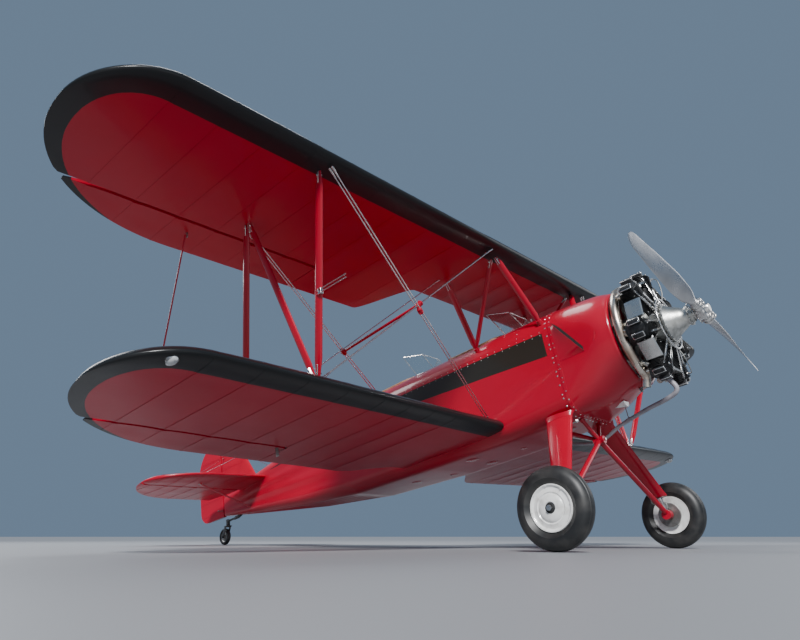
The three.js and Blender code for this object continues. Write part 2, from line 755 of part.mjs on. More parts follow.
// A two-bladed metal propeller with its clamped hub.
function addPropeller() {
  const spinning = new THREE.Group();
  spinning.position.set(0, propellerPlane, thrustLine);
  spinning.rotation.y = propellerRest;
  airframe.add(spinning);
  const hubBack = noseFront - propellerPlane - seatGap;
  const hub = turned([[0, hubBack], [48, hubBack], [70, 30], [70, -30], [40, -62], [0, -70]], 20);
  const bladeTable = [
    // radius, width, thickness, pitch in degrees
    [40, 60, 56, 62],
    [170, 62, 54, 60],
    [260, 120, 34, 50],
    [480, 160, 22, 36],
    [800, 150, 14, 25],
    [1060, 118, 9, 19],
    [1160, 70, 6, 17],
    [propellerRadius, 20, 4, 17],
  ];
  const sides = 12;
  const rings = bladeTable.map(([radius, width, thickness, pitch]) => (
    Array.from({ length: sides }, (_, side) => {
      const angle = (2 * Math.PI * side) / sides;
      const wide = (width / 2) * Math.cos(angle);
      const thick = (thickness / 2) * Math.sin(angle);
      const turn = degrees(pitch);
      return vec(
        radius,
        wide * Math.sin(turn) + thick * Math.cos(turn),
        wide * Math.cos(turn) - thick * Math.sin(turn),
      );
    })
  ));
  const blade = loft(rings);
  const clamps = [1, -1].map((side) => rod(vec(side * 60, 0, 0), vec(side * 150, 0, 0), 46, 14));
  add("propeller", join(hub, ...clamps, blade, blade.clone().rotateY(Math.PI)), looks.silver, spinning);
}

// Landing gear

function axle(extra) {
  const elbow = vec(930, wheelY, wheelZ);
  const tip = vec(wheelX + tyreWidth / 2 + 14, wheelY, wheelZ);
  return join(
    rod(gearApex, elbow, 22 + extra, 12),
    rod(elbow.clone().sub(vec(22, 0, 0)), tip, axleRadius + extra, 16),
    rod(elbow.clone().add(vec(-36, 0, 0)), elbow.clone().add(vec(30, 0, 0)), 40 + extra, 14),
  );
}

function addMainGear() {
  const body = bothSides(bodyBetween(fireWall, tailJoin));
  const legEnd = vec(870, -612, -650);
  const leg = strut(vec(330, -470, 20), legEnd, 250, 76, 150, 66);
  const trimmedLeg = cut(leg, moved(body, 0, 0, -seatGap));
  addPair("gear_leg", trimmedLeg, looks.red);

  const shock = rod(legEnd.clone().add(vec(-4, 0, 8)), vec(930, wheelY, wheelZ), 21, 12);
  addPair("gear_shock", cut(shock, moved(leg, 0, 0, -seatGap), axle(seatGap)), looks.silver);

  const apexEye = rod(gearApex.clone().sub(vec(0, 45, 0)), gearApex.clone().add(vec(0, 45, 0)), 34, 14);
  const past = vec(0, 60, 0);
  const apexRoom = rod(gearApex.clone().sub(past), gearApex.clone().add(past), 34 + seatGap, 14);
  addPair("axle", cut(axle(0), apexRoom), looks.red);
  const truss = join(
    apexEye,
    rod(gearApex, vec(210, gearApex.y + 50, 30), 17, 10),
    rod(gearApex, vec(-210, gearApex.y + 50, 30), 17, 10),
    rod(gearApex, vec(0, gearApex.y + 420, 30), 17, 10),
  );
  add("gear_truss", cut(truss, moved(body, 0, 0, -seatGap)), looks.red);
  addWheels();
}

function addWheels() {
  const half = tyreWidth / 2;
  const sides = 28;
  const crown = 8;
  const tyreProfile = [];
  const flat = rimRadius + seatGap;
  tyreProfile.push([flat, -0.62 * half], [flat, 0.62 * half]);
  for (let step = 0; step <= crown; step++) {
    const angle = (Math.PI * step) / crown;
    const bulge = tyreRadius - flat;
    tyreProfile.push([flat + 0.3 * bulge + 0.7 * bulge * Math.sin(angle) ** 0.8, half * Math.cos(angle)]);
  }
  tyreProfile.push([flat, -0.62 * half]);
  const bore = axleRadius + seatGap;
  const hubProfile = [
    [bore, -62], [52, -62], [62, -34], [140, -50], [rimRadius, -56], [rimRadius, 56], [140, 50],
    [62, 66], [bore, 74], [bore, -62],
  ];
  for (const [sideName, side] of [["left", 1], ["right", -1]]) {
    const wheel = new THREE.Group();
    wheel.position.set(side * wheelX, wheelY, wheelZ);
    airframe.add(wheel);
    add(`tyre_${sideName}`, turned(tyreProfile, sides, "x"), looks.rubber, wheel);
    const hub = turned(hubProfile, sides, "x");
    add(`wheel_hub_${sideName}`, side > 0 ? hub : mirrored(hub), looks.white, wheel);
  }
}

// Tail

const tailSection = [
  // along, half thickness as a share
  [0, 0.25],
  [0.06, 0.75],
  [0.3, 1],
  [0.7, 0.75],
  [1, 0.18],
];

// A symmetrical tail surface from spanwise stations; the vertical ones stand on end.
function tailSurface(stations, thickness, upright) {
  const rings = stations.map(([span, leading, trailing]) => {
    const thin = Math.min(thickness, 0.12 * (trailing - leading) + 6);
    const point = (along, side, share) => {
      const y = mix(leading, trailing, along);
      const across = (side * share * thin) / 2;
      return upright ? vec(across, y, span) : vec(span, y, tailPlane + across);
    };
    const over = tailSection.map(([along, share]) => point(along, 1, share)).reverse();
    const under = tailSection.map(([along, share]) => point(along, -1, share));
    return [...over, ...under];
  });
  return loft(rings);
}

function roundedStations(plan) {
  const { root, tip, noseAt, noseSlope, tailAt, noseRun, tailRun, split } = plan;
  const steps = 8;
  const longest = Math.max(noseRun, tailRun);
  const spans = [root, tip - longest];
  for (let step = steps - 1; step >= 1; step--) {
    spans.push(tip - longest * (1 - Math.cos((Math.PI / 2) * (step / steps))));
  }
  spans.push(tip - 1.5);
  return spans.map((span) => {
    const widest = mix(noseAt, tailAt, split);
    const inset = tip - span;
    const raked = noseAt + noseSlope * Math.max(0, span - root);
    const nose = widest - (widest - raked) * rounding(inset, noseRun);
    const tail = widest + (tailAt - widest) * rounding(inset, tailRun);
    return [span, nose, tail];
  });
}

function addTail() {
  const body = bothSides(bodyBetween(tailJoin + seatGap, sternPost));
  const reach = 3000;
  const level = tailSurface(roundedStations({
    root: 20, tip: tailHalfSpan, noseAt: tailLeading, noseSlope: 0.09, tailAt: elevatorTrailing,
    noseRun: 620, tailRun: 700, split: 0.45,
  }), 56, false);
  const hingeCut = box(vec(-reach, elevatorHinge - hingeReach, 0), vec(reach, reach * 2, reach));
  const elevatorRoot = 150;
  const tubeNotch = box(
    vec(0, elevatorHinge - torqueTube - hingeReach, 0),
    vec(elevatorRoot + 60, 2 * reach, reach),
  );
  addPair("stabiliser", cut(level, hingeCut, tubeNotch, moved(body, seatGap, 0, 0)), looks.red);

  const elevatorNose = elevatorHinge + surfaceSetback;
  const elevatorBlock = box(vec(elevatorRoot, elevatorNose, 0), vec(reach, reach * 2, reach));
  const elevator = common(level, elevatorBlock);
  const arms = [0.35, 0.75].map((share) => hingeArm(
    vec(share * tailHalfSpan, elevatorHinge, tailPlane), "x", hingeReach - seatGap, surfaceSetback + 12,
  ));
  const rootArm = box(
    vec(elevatorRoot + 2, elevatorHinge - 2, tailPlane - torqueTube + 2),
    vec(elevatorRoot + 42, elevatorHinge + 70, tailPlane + torqueTube - 2),
  );
  const half = join(elevator, rootArm, ...arms);
  const tubeEnd = vec(elevatorRoot + 20, elevatorHinge, tailPlane);
  const tube = rod(tubeEnd.clone().setX(-tubeEnd.x), tubeEnd, torqueTube, 20);
  add("elevators", join(half, mirrored(half), tube), looks.red);
  addFinAndRudder(body, reach);
  addTailStruts(body, level);
}

function addFinAndRudder(body, reach) {
  const whole = tailSurface(roundedStations({
    root: 300, tip: finTop, noseAt: 3560, noseSlope: 0.62, tailAt: rudderTrailing,
    noseRun: 260, tailRun: 420, split: 0.62,
  }), 52, true);
  const finCut = box(vec(-reach, rudderHinge - hingeReach, 0), vec(reach, 2 * reach, reach));
  const bodyRoom = [moved(body, 0, 0, seatGap), moved(body, 0, seatGap, 0)];
  add("fin", cut(whole, finCut, ...bodyRoom, box(vec(-60, 0, 0), vec(60, 2 * reach, 520))), looks.red);

  const rudderBlock = box(vec(-reach, rudderHinge + 16, 330), vec(reach, 2 * reach, reach));
  const heights = [400, 720, 1130];
  const arms = heights.map((z) => hingeArm(vec(0, rudderHinge, z), "z", hingeReach - seatGap, 28));
  add("rudder", join(common(whole, rudderBlock), ...arms), looks.red);
}

function addTailStruts(body, level) {
  const outer = vec(820, 3800, tailPlane);
  const lower = strut(vec(60, 3780, 260), outer, 34, 16);
  const clearances = [moved(level, 0, 0, -seatGap), moved(body, seatGap, 0, -seatGap)];
  addPair("tail_strut", cut(lower, ...clearances), looks.red);
}

// The sprung, swivelling tail wheel.
function addTailWheel() {
  const axleZ = wheelZ + (tailWheelY - wheelY) * Math.tan(parkedAngle)
    + (tailWheelRadius - tyreRadius) / Math.cos(parkedAngle);
  const pivotY = tailWheelY - 75;
  const pivotBottom = axleZ + tailWheelRadius + 18;
  const pivotTop = pivotBottom + 70;
  const body = bothSides(bodyBetween(tailJoin + seatGap, sternPost));
  const post = rod(vec(0, pivotY, pivotBottom), vec(0, pivotY, pivotTop), 24, 14);
  const leaf = (from, to) => strutPlate(from, to, 44, 16);
  const spring = join(
    leaf(vec(0, 4060, 330), vec(0, 4200, pivotTop - 10)),
    leaf(vec(0, 4190, pivotTop - 14), vec(0, pivotY, pivotTop - 22)),
    post,
  );
  add("tail_spring", cut(spring, moved(body, 0, 0, -seatGap)), looks.steel);

  const yoke = new THREE.Group();
  yoke.position.set(0, pivotY, axleZ);
  airframe.add(yoke);
  const top = pivotBottom - seatGap - axleZ;
  const cheek = (side) => join(
    strut(vec(side * 34, 75, -12), vec(side * 34, 10, top - 12), 44, 10),
    rod(vec(side * 29, 75, 0), vec(side * 39, 75, 0), 20, 14),
  );
  const crown = box(vec(-39, -22, top - 14), vec(39, 34, top));
  const spindle = rod(vec(-34, 75, 0), vec(34, 75, 0), 8, 12);
  add("tail_fork", join(cheek(1), cheek(-1), crown, spindle), looks.steel, yoke);

  const bore = 8 + seatGap;
  const profile = [
    [bore, -22], [60, -16], [72, -24], [94, -16], [tailWheelRadius, 0],
    [94, 16], [72, 24], [60, 16], [bore, 22], [bore, -22],
  ];
  const wheel = turned(profile, 22, "x").translate(0, 75, 0);
  add("tail_wheel", wheel, looks.rubber, yoke);
}

// A flat bar between two points on the centre line.
function strutPlate(from, to, width, thickness) {
  const length = from.distanceTo(to);
  const bar = new THREE.BoxGeometry(width, length, thickness);
  bar.rotateX(Math.atan2(to.z - from.z, to.y - from.y));
  const middle = from.clone().add(to).multiplyScalar(0.5);
  return bar.translate(middle.x, middle.y, middle.z);
}

const shell = forwardShell();
addFuselage(shell);
addCowl();
addCockpitFittings(shell);
addWings();
addEngine();
addPropeller();
addMainGear();
addTail();
addTailWheel();

// The wheels stand on z = 0, with the middle of the whole length over the origin.
const extent = new THREE.Box3().setFromObject(aircraft, true);
airframe.position.set(0, -(extent.min.y + extent.max.y) / 2, -extent.min.z);

export default aircraft;
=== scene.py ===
"""A red three-seat open-cockpit biplane of the 1930s, parked on a pale studio floor.

Lengths are in metres. Pieces are drawn in the level airframe's own frame: x toward the left wing tip,
y aft, z up, with the origin at the lower wing's leading edge on the centre line. level_to_row then
carries a finished mesh to where the parked airframe stands, nose up on its tail wheel.
"""
import json
import math

import bmesh
import bpy
import numpy as np
from mathutils import Matrix, Vector


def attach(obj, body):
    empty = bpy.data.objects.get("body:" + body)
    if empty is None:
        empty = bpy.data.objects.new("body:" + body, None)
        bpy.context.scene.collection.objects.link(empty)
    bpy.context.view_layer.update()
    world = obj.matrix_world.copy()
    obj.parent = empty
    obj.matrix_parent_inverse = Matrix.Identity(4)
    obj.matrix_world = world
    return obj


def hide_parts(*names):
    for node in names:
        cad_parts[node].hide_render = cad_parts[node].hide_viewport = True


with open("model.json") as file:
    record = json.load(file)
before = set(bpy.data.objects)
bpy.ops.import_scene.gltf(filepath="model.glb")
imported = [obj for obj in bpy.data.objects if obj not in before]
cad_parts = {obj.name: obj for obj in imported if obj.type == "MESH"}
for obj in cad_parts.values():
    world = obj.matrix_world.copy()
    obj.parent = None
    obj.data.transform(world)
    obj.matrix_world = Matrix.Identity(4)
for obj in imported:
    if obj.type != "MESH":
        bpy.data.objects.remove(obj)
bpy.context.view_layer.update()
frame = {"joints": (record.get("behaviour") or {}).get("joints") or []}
joints = {joint["name"]: joint for joint in frame["joints"]}


# The parked airframe
# The whole aircraft is tipped back by the tail wheel's low stance. The propeller's joint gives both the
# tilt and the place: its axis runs straight ahead, and its hub stands on the thrust line.

HUB_Y = -1.7
THRUST_Z = 0.5
hub_place = Vector(joints["propeller_spin"]["pos_m"])
aft = -Vector(joints["propeller_spin"]["axis"]).normalized()
left = Vector((1, 0, 0))
upward = left.cross(aft)
tilt = Matrix((left, aft, upward)).transposed().to_4x4()
level_to_row = Matrix.Translation(hub_place - aft * HUB_Y - upward * THRUST_Z) @ tilt
row_to_level = level_to_row.inverted()


# Camera
# It stands at floor level ahead of the right wing, looks up past the wheel to the engine, and keeps the
# photograph's heading.

CAMERA_HEADING = math.radians(-49)
CAMERA_DISTANCE = 6.4
CAMERA_HEIGHT = 0.1
CAMERA_REACH = 2000
AIM = Vector((-0.68, -0.75, 2.05))
LENS = 32


def added(name, data):
    """A new object of the scene."""
    one = bpy.data.objects.new(name, data)
    bpy.context.scene.collection.objects.link(one)
    return one


def aimed(thing, place, aim):
    """Stands a camera or lamp at its place, turned to what it looks at."""
    thing.location = place
    thing.rotation_euler = (Vector(aim) - Vector(place)).to_track_quat("-Z", "Y").to_euler()
    return thing


camera_data = bpy.data.cameras.new("camera")
camera_data.lens = LENS
camera_data.clip_end = CAMERA_REACH
camera_place = AIM + Vector((math.sin(CAMERA_HEADING), -math.cos(CAMERA_HEADING), 0)) * CAMERA_DISTANCE
camera_place.z = CAMERA_HEIGHT
bpy.context.scene.camera = aimed(added("camera", camera_data), camera_place, AIM)


# Floor and light
# A plain pale floor that runs into a pale surround, a soft sun from above the right side, a wide fill from
# the left, a low lamp that opens the undersides, and two lamps from behind and above for the upper sides.

FLOOR_HALF = 400
FLOOR_COLOUR = (0.25, 0.257, 0.27, 1)
FLOOR_ROUGHNESS = 0.55
SURROUND_COLOUR = (0.37, 0.53, 0.76, 1)
SURROUND_STRENGTH = 0.4
LAMPS = [
    # name, place, aim, size, power
    ("fill", (7.5, -5.0, 5.0), (0.5, -1, 1.2), 6.0, 160),
    ("low", (-3.0, -8.5, 0.7), (0, -1.5, 1.4), 4.0, 25),
    ("back", (-3.0, 8.5, 6.5), (0, 0.5, 1.2), 5.0, 420),
    ("above", (0.5, 3.0, 10.0), (0, 0.8, 1.0), 5.0, 420),
]
SUN_PLACE = (-6.5, -5.5, 7.5)
SUN_POWER = 5.2
SUN_WIDTH = math.radians(11)


def feed(tree, node, values):
    """Fills a node's inputs: from a socket by a link, and with anything else as its value."""
    for key, value in values.items():
        if isinstance(value, bpy.types.NodeSocket):
            tree.links.new(value, node.inputs[key])
        else:
            node.inputs[key].default_value = value


def new_material(name):
    """A material with its node tree and its shader."""
    material = bpy.data.materials.new(name)
    material.use_nodes = True
    tree = material.node_tree
    return material, tree, next(node for node in tree.nodes if node.type == "BSDF_PRINCIPLED")


def mesh_of(points, faces=(), edges=()):
    mesh = bpy.data.meshes.new("work")
    mesh.from_pydata([tuple(point) for point in points], list(edges), list(faces))
    mesh.update()
    return mesh


floor_corners = [(x * FLOOR_HALF, y * FLOOR_HALF, 0) for x, y in ((-1, -1), (1, -1), (1, 1), (-1, 1))]
floor = added("floor", mesh_of(floor_corners, [(0, 1, 2, 3)]))
floor_material, floor_tree, floor_shader = new_material("studio_floor")
feed(floor_tree, floor_shader, {"Base Color": FLOOR_COLOUR, "Roughness": FLOOR_ROUGHNESS})
floor.data.materials.append(floor_material)

world = bpy.data.worlds.new("surround")
world.use_nodes = True
feed(world.node_tree, world.node_tree.nodes["Background"],
     {"Color": SURROUND_COLOUR, "Strength": SURROUND_STRENGTH})
bpy.context.scene.world = world

for lamp_name, place, aim, size, power in LAMPS:
    lamp_data = bpy.data.lights.new(lamp_name, "AREA")
    lamp_data.shape = "DISK"
    lamp_data.size = size
    lamp_data.energy = power
    aimed(added(lamp_name, lamp_data), place, aim)
sun_data = bpy.data.lights.new("sun", "SUN")
sun_data.energy = SUN_POWER
sun_data.angle = SUN_WIDTH
aimed(added("sun", sun_data), SUN_PLACE, (0, 0, 0))


# Fabric wings
# Two spars and a row of ribs carry cotton cloth, shrunk tight and painted with many coats of glossy red
# dope. The cloth sinks a little between the ribs, a pinked tape covers the stitching over each rib, and
# a plywood nose keeps the leading edge smooth. A black band is painted round the leading edge and tip.

CHORD = 1.45
WING_GAP = 1.4
STAGGER = 0.55
DIHEDRAL = math.tan(math.radians(1.5))
TIP_NOSE_RUN = 0.5
TIP_TAIL_RUN = 1.25
TIP_SPLIT = 0.34
TIP_END = 0.002
CENTRE_HALF = 0.75
CENTRE_CHORD = 0.625
UPPER_WING = {
    "root": CENTRE_HALF + 0.0003, "tip": 4.25, "nose": -STAGGER, "base": WING_GAP, "rise": 0.0,
    "corner": 1.09, "run": 0.25, "depth": (1 - CENTRE_CHORD) * CHORD,
}
LOWER_WING = {
    "root": 0.38, "tip": 3.8, "nose": 0.0, "base": 0.0, "rise": DIHEDRAL,
    "corner": 1.01, "run": 0.52, "depth": 0.2 * CHORD,
}
WINGS = {"upper": UPPER_WING, "lower": LOWER_WING}
CENTRE_WING = dict(UPPER_WING, root=-CENTRE_HALF, corner=9.0, run=0.1)
AILERON_INBOARD = 1.87
AILERON_HINGE = 0.75 * CHORD
AILERON_GAP = 0.008
AILERON_SETBACK = 0.022
HINGE_FACE = 0.006
RIB_PITCH = 0.325
CENTRE_RIB_PITCH = 0.3
SAG = 0.0035
PLYWOOD_END = 0.11
SAG_END = 0.97
BAND_WIDTH = 0.185
WING_MERGE = 2e-5
SECTION = np.array([
    # along, top, under
    [0, 0.035, 0.035],
    [0.0125, 0.0545, 0.0193],
    [0.05, 0.079, 0.0093],
    [0.12, 0.1, 0.003],
    [0.3, 0.117, 0],
    [0.5, 0.105, 0],
    [0.75, 0.063, 0],
    [1, 0.004, 0],
])
# The same section with finer stations, rounded at the nose.
SHARES = 0.5 - 0.5 * np.cos(np.linspace(0, math.pi, 33))
ROOTS = np.sqrt(SHARES)
OVER, UNDER = (np.interp(ROOTS, np.sqrt(SECTION[:, 0]), SECTION[:, column]) for column in (1, 2))


def rounding(inset, run):
    """How much of the full reach a rounded tip has, a little way in from its end."""
    return math.sqrt(1 - max(0.0, 1 - inset / run) ** 2)


def smooth_step(value, low, high):
    """0 up to low and 1 from high on, with a smooth run between them."""
    share = min(1.0, max(0.0, (value - low) / (high - low)))
    return share * share * (3 - 2 * share)


def wing_at(wing, x):
    """Leading and trailing edge, section depth and height of a wing at one place of its span."""
    inset = max(0.0005, wing["tip"] - x)
    widest = wing["nose"] + TIP_SPLIT * CHORD
    leading = widest - TIP_SPLIT * CHORD * rounding(inset, TIP_NOSE_RUN)
    trailing = widest + (1 - TIP_SPLIT) * CHORD * rounding(inset, TIP_TAIL_RUN)
    missing = wing["depth"] * smooth_step(wing["corner"] - x, 0, wing["run"])
    return leading, trailing - missing, trailing - leading, wing["base"] + x * wing["rise"]


def bay_bulge(span, ribs):
    """How far a place lies into its bay: 0 on a rib or outside the ribs, and 1 midway between two."""
    if len(ribs) < 2 or not ribs[0] < span < ribs[-1]:
        return 0.0
    after = int(np.searchsorted(ribs, span))
    share = (span - ribs[after - 1]) / (ribs[after] - ribs[after - 1])
    return math.sin(math.pi * share) ** 0.8


def sag_at(x, along, ribs):
    """How far the cloth sinks between two ribs, behind the plywood nose."""
    if along < PLYWOOD_END or along > SAG_END:
        return 0.0
    ends = smooth_step(along, PLYWOOD_END, 2 * PLYWOOD_END) * smooth_step(SAG_END - along, 0, 0.1)
    return SAG * bay_bulge(x, ribs) * ends


def edge_line(wing, root):
    """The leading edge and tip in plan, with the band's width there: it thins out behind the tip."""
    line = [(x, wing_at(wing, x)[0], BAND_WIDTH) for x in np.linspace(root, wing["tip"] - TIP_NOSE_RUN, 200)]
    for turn in np.linspace(0, math.pi / 2, 60)[1:]:
        x = wing["tip"] - TIP_NOSE_RUN * (1 - math.sin(turn))
        line.append((x, wing_at(wing, x)[0], BAND_WIDTH * (1 - 0.25 * turn / (math.pi / 2))))
    for turn in np.linspace(0, 1.25, 90)[1:]:
        x = wing["tip"] - TIP_TAIL_RUN * (1 - math.cos(turn))
        line.append((x, wing_at(wing, x)[1], 0.75 * BAND_WIDTH * max(0.0, 1 - turn / 1.2)))
    return np.array(line)


def paint_band(mesh, line):
    """Stores for each corner how far from the edge it lies: below 1 the black band covers it."""
    layer = mesh.attributes.new("edge_share", "FLOAT", "POINT")
    for corner, item in zip(mesh.vertices, layer.data):
        gaps = np.hypot(line[:, 0] - abs(corner.co.x), line[:, 1] - corner.co.y)
        nearest = int(np.argmin(gaps))
        item.value = min(9.0, gaps[nearest] / max(0.002, line[nearest, 2]))


def grid(rows, closed=False):
    """The corners of rows of equal length, and the faces between each row and the next."""
    across = len(rows[0])
    points = [tuple(point) for row in rows for point in row]
    faces = []
    for start in range(0, len(points) - across, across):
        for step in range(across if closed else across - 1):
            a, b = start + step, start + (step + 1) % across
            faces.append((a, b, b + across, a + across))
    return points, faces


def tidy(mesh, merge=1e-5):
    """Merges doubled corners and turns every face outward."""
    shape = bmesh.new()
    shape.from_mesh(mesh)
    bmesh.ops.remove_doubles(shape, verts=shape.verts, dist=merge)
    bmesh.ops.dissolve_degenerate(shape, edges=shape.edges, dist=merge / 2)
    bmesh.ops.recalc_face_normals(shape, faces=shape.faces)
    shape.to_mesh(mesh)
    shape.free()
    return mesh


def skin(rings, ends=True, merge=1e-5):
    """A skin round rings of equal length, with a face over each end."""
    points, faces = grid(rings, closed=True)
    if ends:
        around = len(rings[0])
        faces.append(tuple(reversed(range(around))))
        faces.append(tuple(range(len(points) - around, len(points))))
    return tidy(mesh_of(points, faces), merge)


def shade(mesh, angle):
    """Smooth shading that keeps edges sharper than the angle."""
    mesh.shade_smooth()
    shape = bmesh.new()
    shape.from_mesh(mesh)
    for edge in shape.edges:
        if len(edge.link_faces) == 2 and edge.calc_face_angle(0) > math.radians(angle):
            edge.smooth = False
    shape.to_mesh(mesh)
    shape.free()


def settle(mesh, name, material, replaced="", body="airframe", angle=35):
    """Puts a finished mesh in its place on the parked airframe, on the body that it moves with."""
    mesh.transform(level_to_row)
    shade(mesh, angle)
    mesh.name = name
    if not mesh.materials:
        mesh.materials.append(material)
    piece = added(name, mesh)
    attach(piece, body)
    if replaced:
        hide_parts(replaced)
    return piece


def settle_pair(mesh, name, material, replaced="", body="airframe", angle=35):
    """Settles a left-hand mesh and its mirror image. In the names a star stands for the side, and a
    replaced node without a star belongs to the left one."""
    for side in ("left", "right"):
        one = mesh.copy()
        if side == "right":
            one.transform(Matrix.Diagonal((-1, 1, 1, 1)))
            one.flip_normals()
        node = replaced.replace("*", side) if "*" in replaced or side == "left" else ""
        settle(one, name.replace("*", side), material, node, body.replace("*", side), angle)


def add(tree, kind, values=None, **settings):
    """A new node with its settings and its inputs."""
    node = tree.nodes.new(kind)
    for key, value in settings.items():
        setattr(node, key, value)
    feed(tree, node, values or {})
    return node


def own_place(tree):
    """The piece's own coordinates."""
    return add(tree, "ShaderNodeTexCoord").outputs["Object"]


def noise(tree, scale, detail=2.0, place=None):
    return add(tree, "ShaderNodeTexNoise",
               {"Scale": scale, "Detail": detail, "Vector": place or own_place(tree)}).outputs["Fac"]


def between(tree, amount, low, high, first, last):
    """An amount from low to high, carried over to first to last."""
    sizes = {"Value": amount, "From Min": low, "From Max": high, "To Min": first, "To Max": last}
    return add(tree, "ShaderNodeMapRange", sizes).outputs["Result"]


def two_tones(tree, amount, low, dark, high, light):
    """A colour that goes from dark to light as the amount goes from low to high."""
    node = add(tree, "ShaderNodeValToRGB", {"Fac": amount})
    for element, place, colour in zip(node.color_ramp.elements, (low, high), (dark, light)):
        element.position = place
        element.color = colour
    return node.outputs["Color"]


def mixed(tree, share, colour, other):
    """One colour where the share is 0 and the other where it is 1."""
    return add(tree, "ShaderNodeMix", {"Factor": share, 6: colour, 7: other}, data_type="RGBA").outputs[2]


def sums(tree, operation, one, other):
    return add(tree, "ShaderNodeMath", {0: one, 1: other}, operation=operation).outputs["Value"]


def relief(tree, shader, height, strength, distance):
    bump = add(tree, "ShaderNodeBump", {"Height": height, "Strength": strength, "Distance": distance})
    feed(tree, shader, {"Normal": bump.outputs["Normal"]})


RED = (0.4, 0.0012, 0.02, 1)
RED_DEEP = (0.355, 0.001, 0.0175, 1)
BAND_BLACK = (0.011, 0.012, 0.013, 1)
WEAVE = 0.06
THREAD_SCALE = 380


def red_dope(name, banded=False, weave=WEAVE, coat=0.12):
    """Glossy dope over cloth: a fine weave under the gloss, and a faint cloudiness in tone and gloss."""
    material, tree, shader = new_material(name)
    place = own_place(tree)
    colour = two_tones(tree, noise(tree, 1.7, 4, place), 0.3, RED_DEEP, 0.68, RED)
    if banded:
        share = add(tree, "ShaderNodeAttribute", attribute_name="edge_share").outputs["Fac"]
        colour = mixed(tree, between(tree, share, 0.985, 1.015, 0, 1), BAND_BLACK, colour)
    threads = [add(tree, "ShaderNodeTexWave", {"Scale": THREAD_SCALE, "Distortion": 0.6, "Vector": place},
                   bands_direction=direction).outputs["Fac"] for direction in ("X", "Y")]
    relief(tree, shader, sums(tree, "ADD", *threads), weave, 0.0004)
    feed(tree, shader, {
        "Base Color": colour, "Roughness": between(tree, noise(tree, 5, 4, place), 0.35, 0.75, 0.29, 0.345),
        "Coat Weight": coat, "Coat Roughness": 0.08, "Specular IOR Level": 0.25})
    return material


wing_cloth = red_dope("wing_cloth", banded=True)


def rib_places(first, last, pitch=RIB_PITCH):
    count = max(1, round((last - first) / pitch))
    return [first + (last - first) * step / count for step in range(count + 1)]


def section_ring(wing, x, start_y=None, end_y=None, ribs=()):
    """A wing's section at x, from start_y to end_y where those cut it short."""
    leading, trailing, depth, base = wing_at(wing, x)
    low = 0.0 if start_y is None else (start_y - leading) / (trailing - leading)
    high = 1.0 if end_y is None else min(1.0, (end_y - leading) / (trailing - leading))
    used = low + (high - low) * SHARES
    ring = []
    for heights, way in ((OVER, -1), (UNDER, 1)):
        line = []
        for along, height in zip(used, np.interp(np.sqrt(used), ROOTS, heights)):
            z = base + depth * height + way * sag_at(x, along, ribs)
            line.append((x, leading + along * (trailing - leading), z))
        ring.extend(reversed(line) if way < 0 else line[1:])
    return ring


def stations(wing, ribs, first, last, extra=()):
    """Places along the span: several between ribs, and closer ones round the tip."""
    spans = {first, last, wing["tip"] - TIP_END, *extra}
    for before, after in zip(ribs, ribs[1:]):
        spans.update(before + (after - before) * step / 6 for step in range(6))
    spans.update(wing["corner"] - wing["run"] * step / 12 for step in range(13))
    spans.update(wing["tip"] - TIP_TAIL_RUN * (1 - math.cos(math.pi / 2 * step / 30))
                 for step in range(1, 31))
    kept = []
    for x in sorted(spans):
        if first <= x <= last and (not kept or x - kept[-1] > 0.0015):
            kept.append(x)
    return kept


def wing_panel(wing, ribs):
    """One wing without its aileron: the section is cut short behind the hinge line, outboard."""
    bay_face = wing["nose"] + AILERON_HINGE - HINGE_FACE
    rings = []
    for x in stations(wing, ribs, wing["root"], wing["tip"] - TIP_END, (AILERON_INBOARD,)):
        if x < AILERON_INBOARD + 1e-6:
            rings.append(section_ring(wing, x, ribs=ribs))
        if x > AILERON_INBOARD - 1e-6:
            rings.append(section_ring(wing, x, None, bay_face, ribs))
    return skin(rings, merge=WING_MERGE)


def aileron_shape(wing, ribs):
    nose = wing["nose"] + AILERON_HINGE + AILERON_SETBACK
    spans = stations(wing, ribs, AILERON_INBOARD + AILERON_GAP, wing["tip"] - TIP_END)
    return skin([section_ring(wing, x, nose, None, ribs) for x in spans if wing_at(wing, x)[1] > nose + 0.02],
                merge=WING_MERGE)


wing_ribs = {}
for level, wing in WINGS.items():
    ribs = rib_places(wing["corner"] + 0.04, AILERON_INBOARD)
    ribs += rib_places(AILERON_INBOARD, wing["tip"] - 0.17)[1:]
    wing_ribs[level] = ribs
    for mesh, kind, body in ((wing_panel(wing, ribs), "wing", "airframe"),
                             (aileron_shape(wing, ribs), "aileron", f"{level}_aileron_*")):
        paint_band(mesh, edge_line(wing, wing["root"]))
        settle_pair(mesh, f"{level}_{kind}_skin_*", wing_cloth, f"{level}_{kind}_*", body)

centre_ribs = rib_places(-CENTRE_HALF, CENTRE_HALF, CENTRE_RIB_PITCH)
centre_spans = stations(CENTRE_WING, centre_ribs, -CENTRE_HALF, CENTRE_HALF)
centre_mesh = skin([section_ring(CENTRE_WING, x, ribs=centre_ribs) for x in centre_spans], merge=WING_MERGE)
paint_band(centre_mesh, np.array([(x, -STAGGER, BAND_WIDTH) for x in np.linspace(0, CENTRE_HALF, 60)]))
settle(centre_mesh, "center_section_skin", wing_cloth, "center_section")


# Rib tapes
# Pinked linen tape is doped down over the stitches of every rib, from the trailing edge round the nose
# and back. Each strip stands a fraction of a millimetre proud of the cloth.

TAPE_WIDTH = 0.038
TAPE_RISE = 0.0011
EDGE_SPARE = 0.002


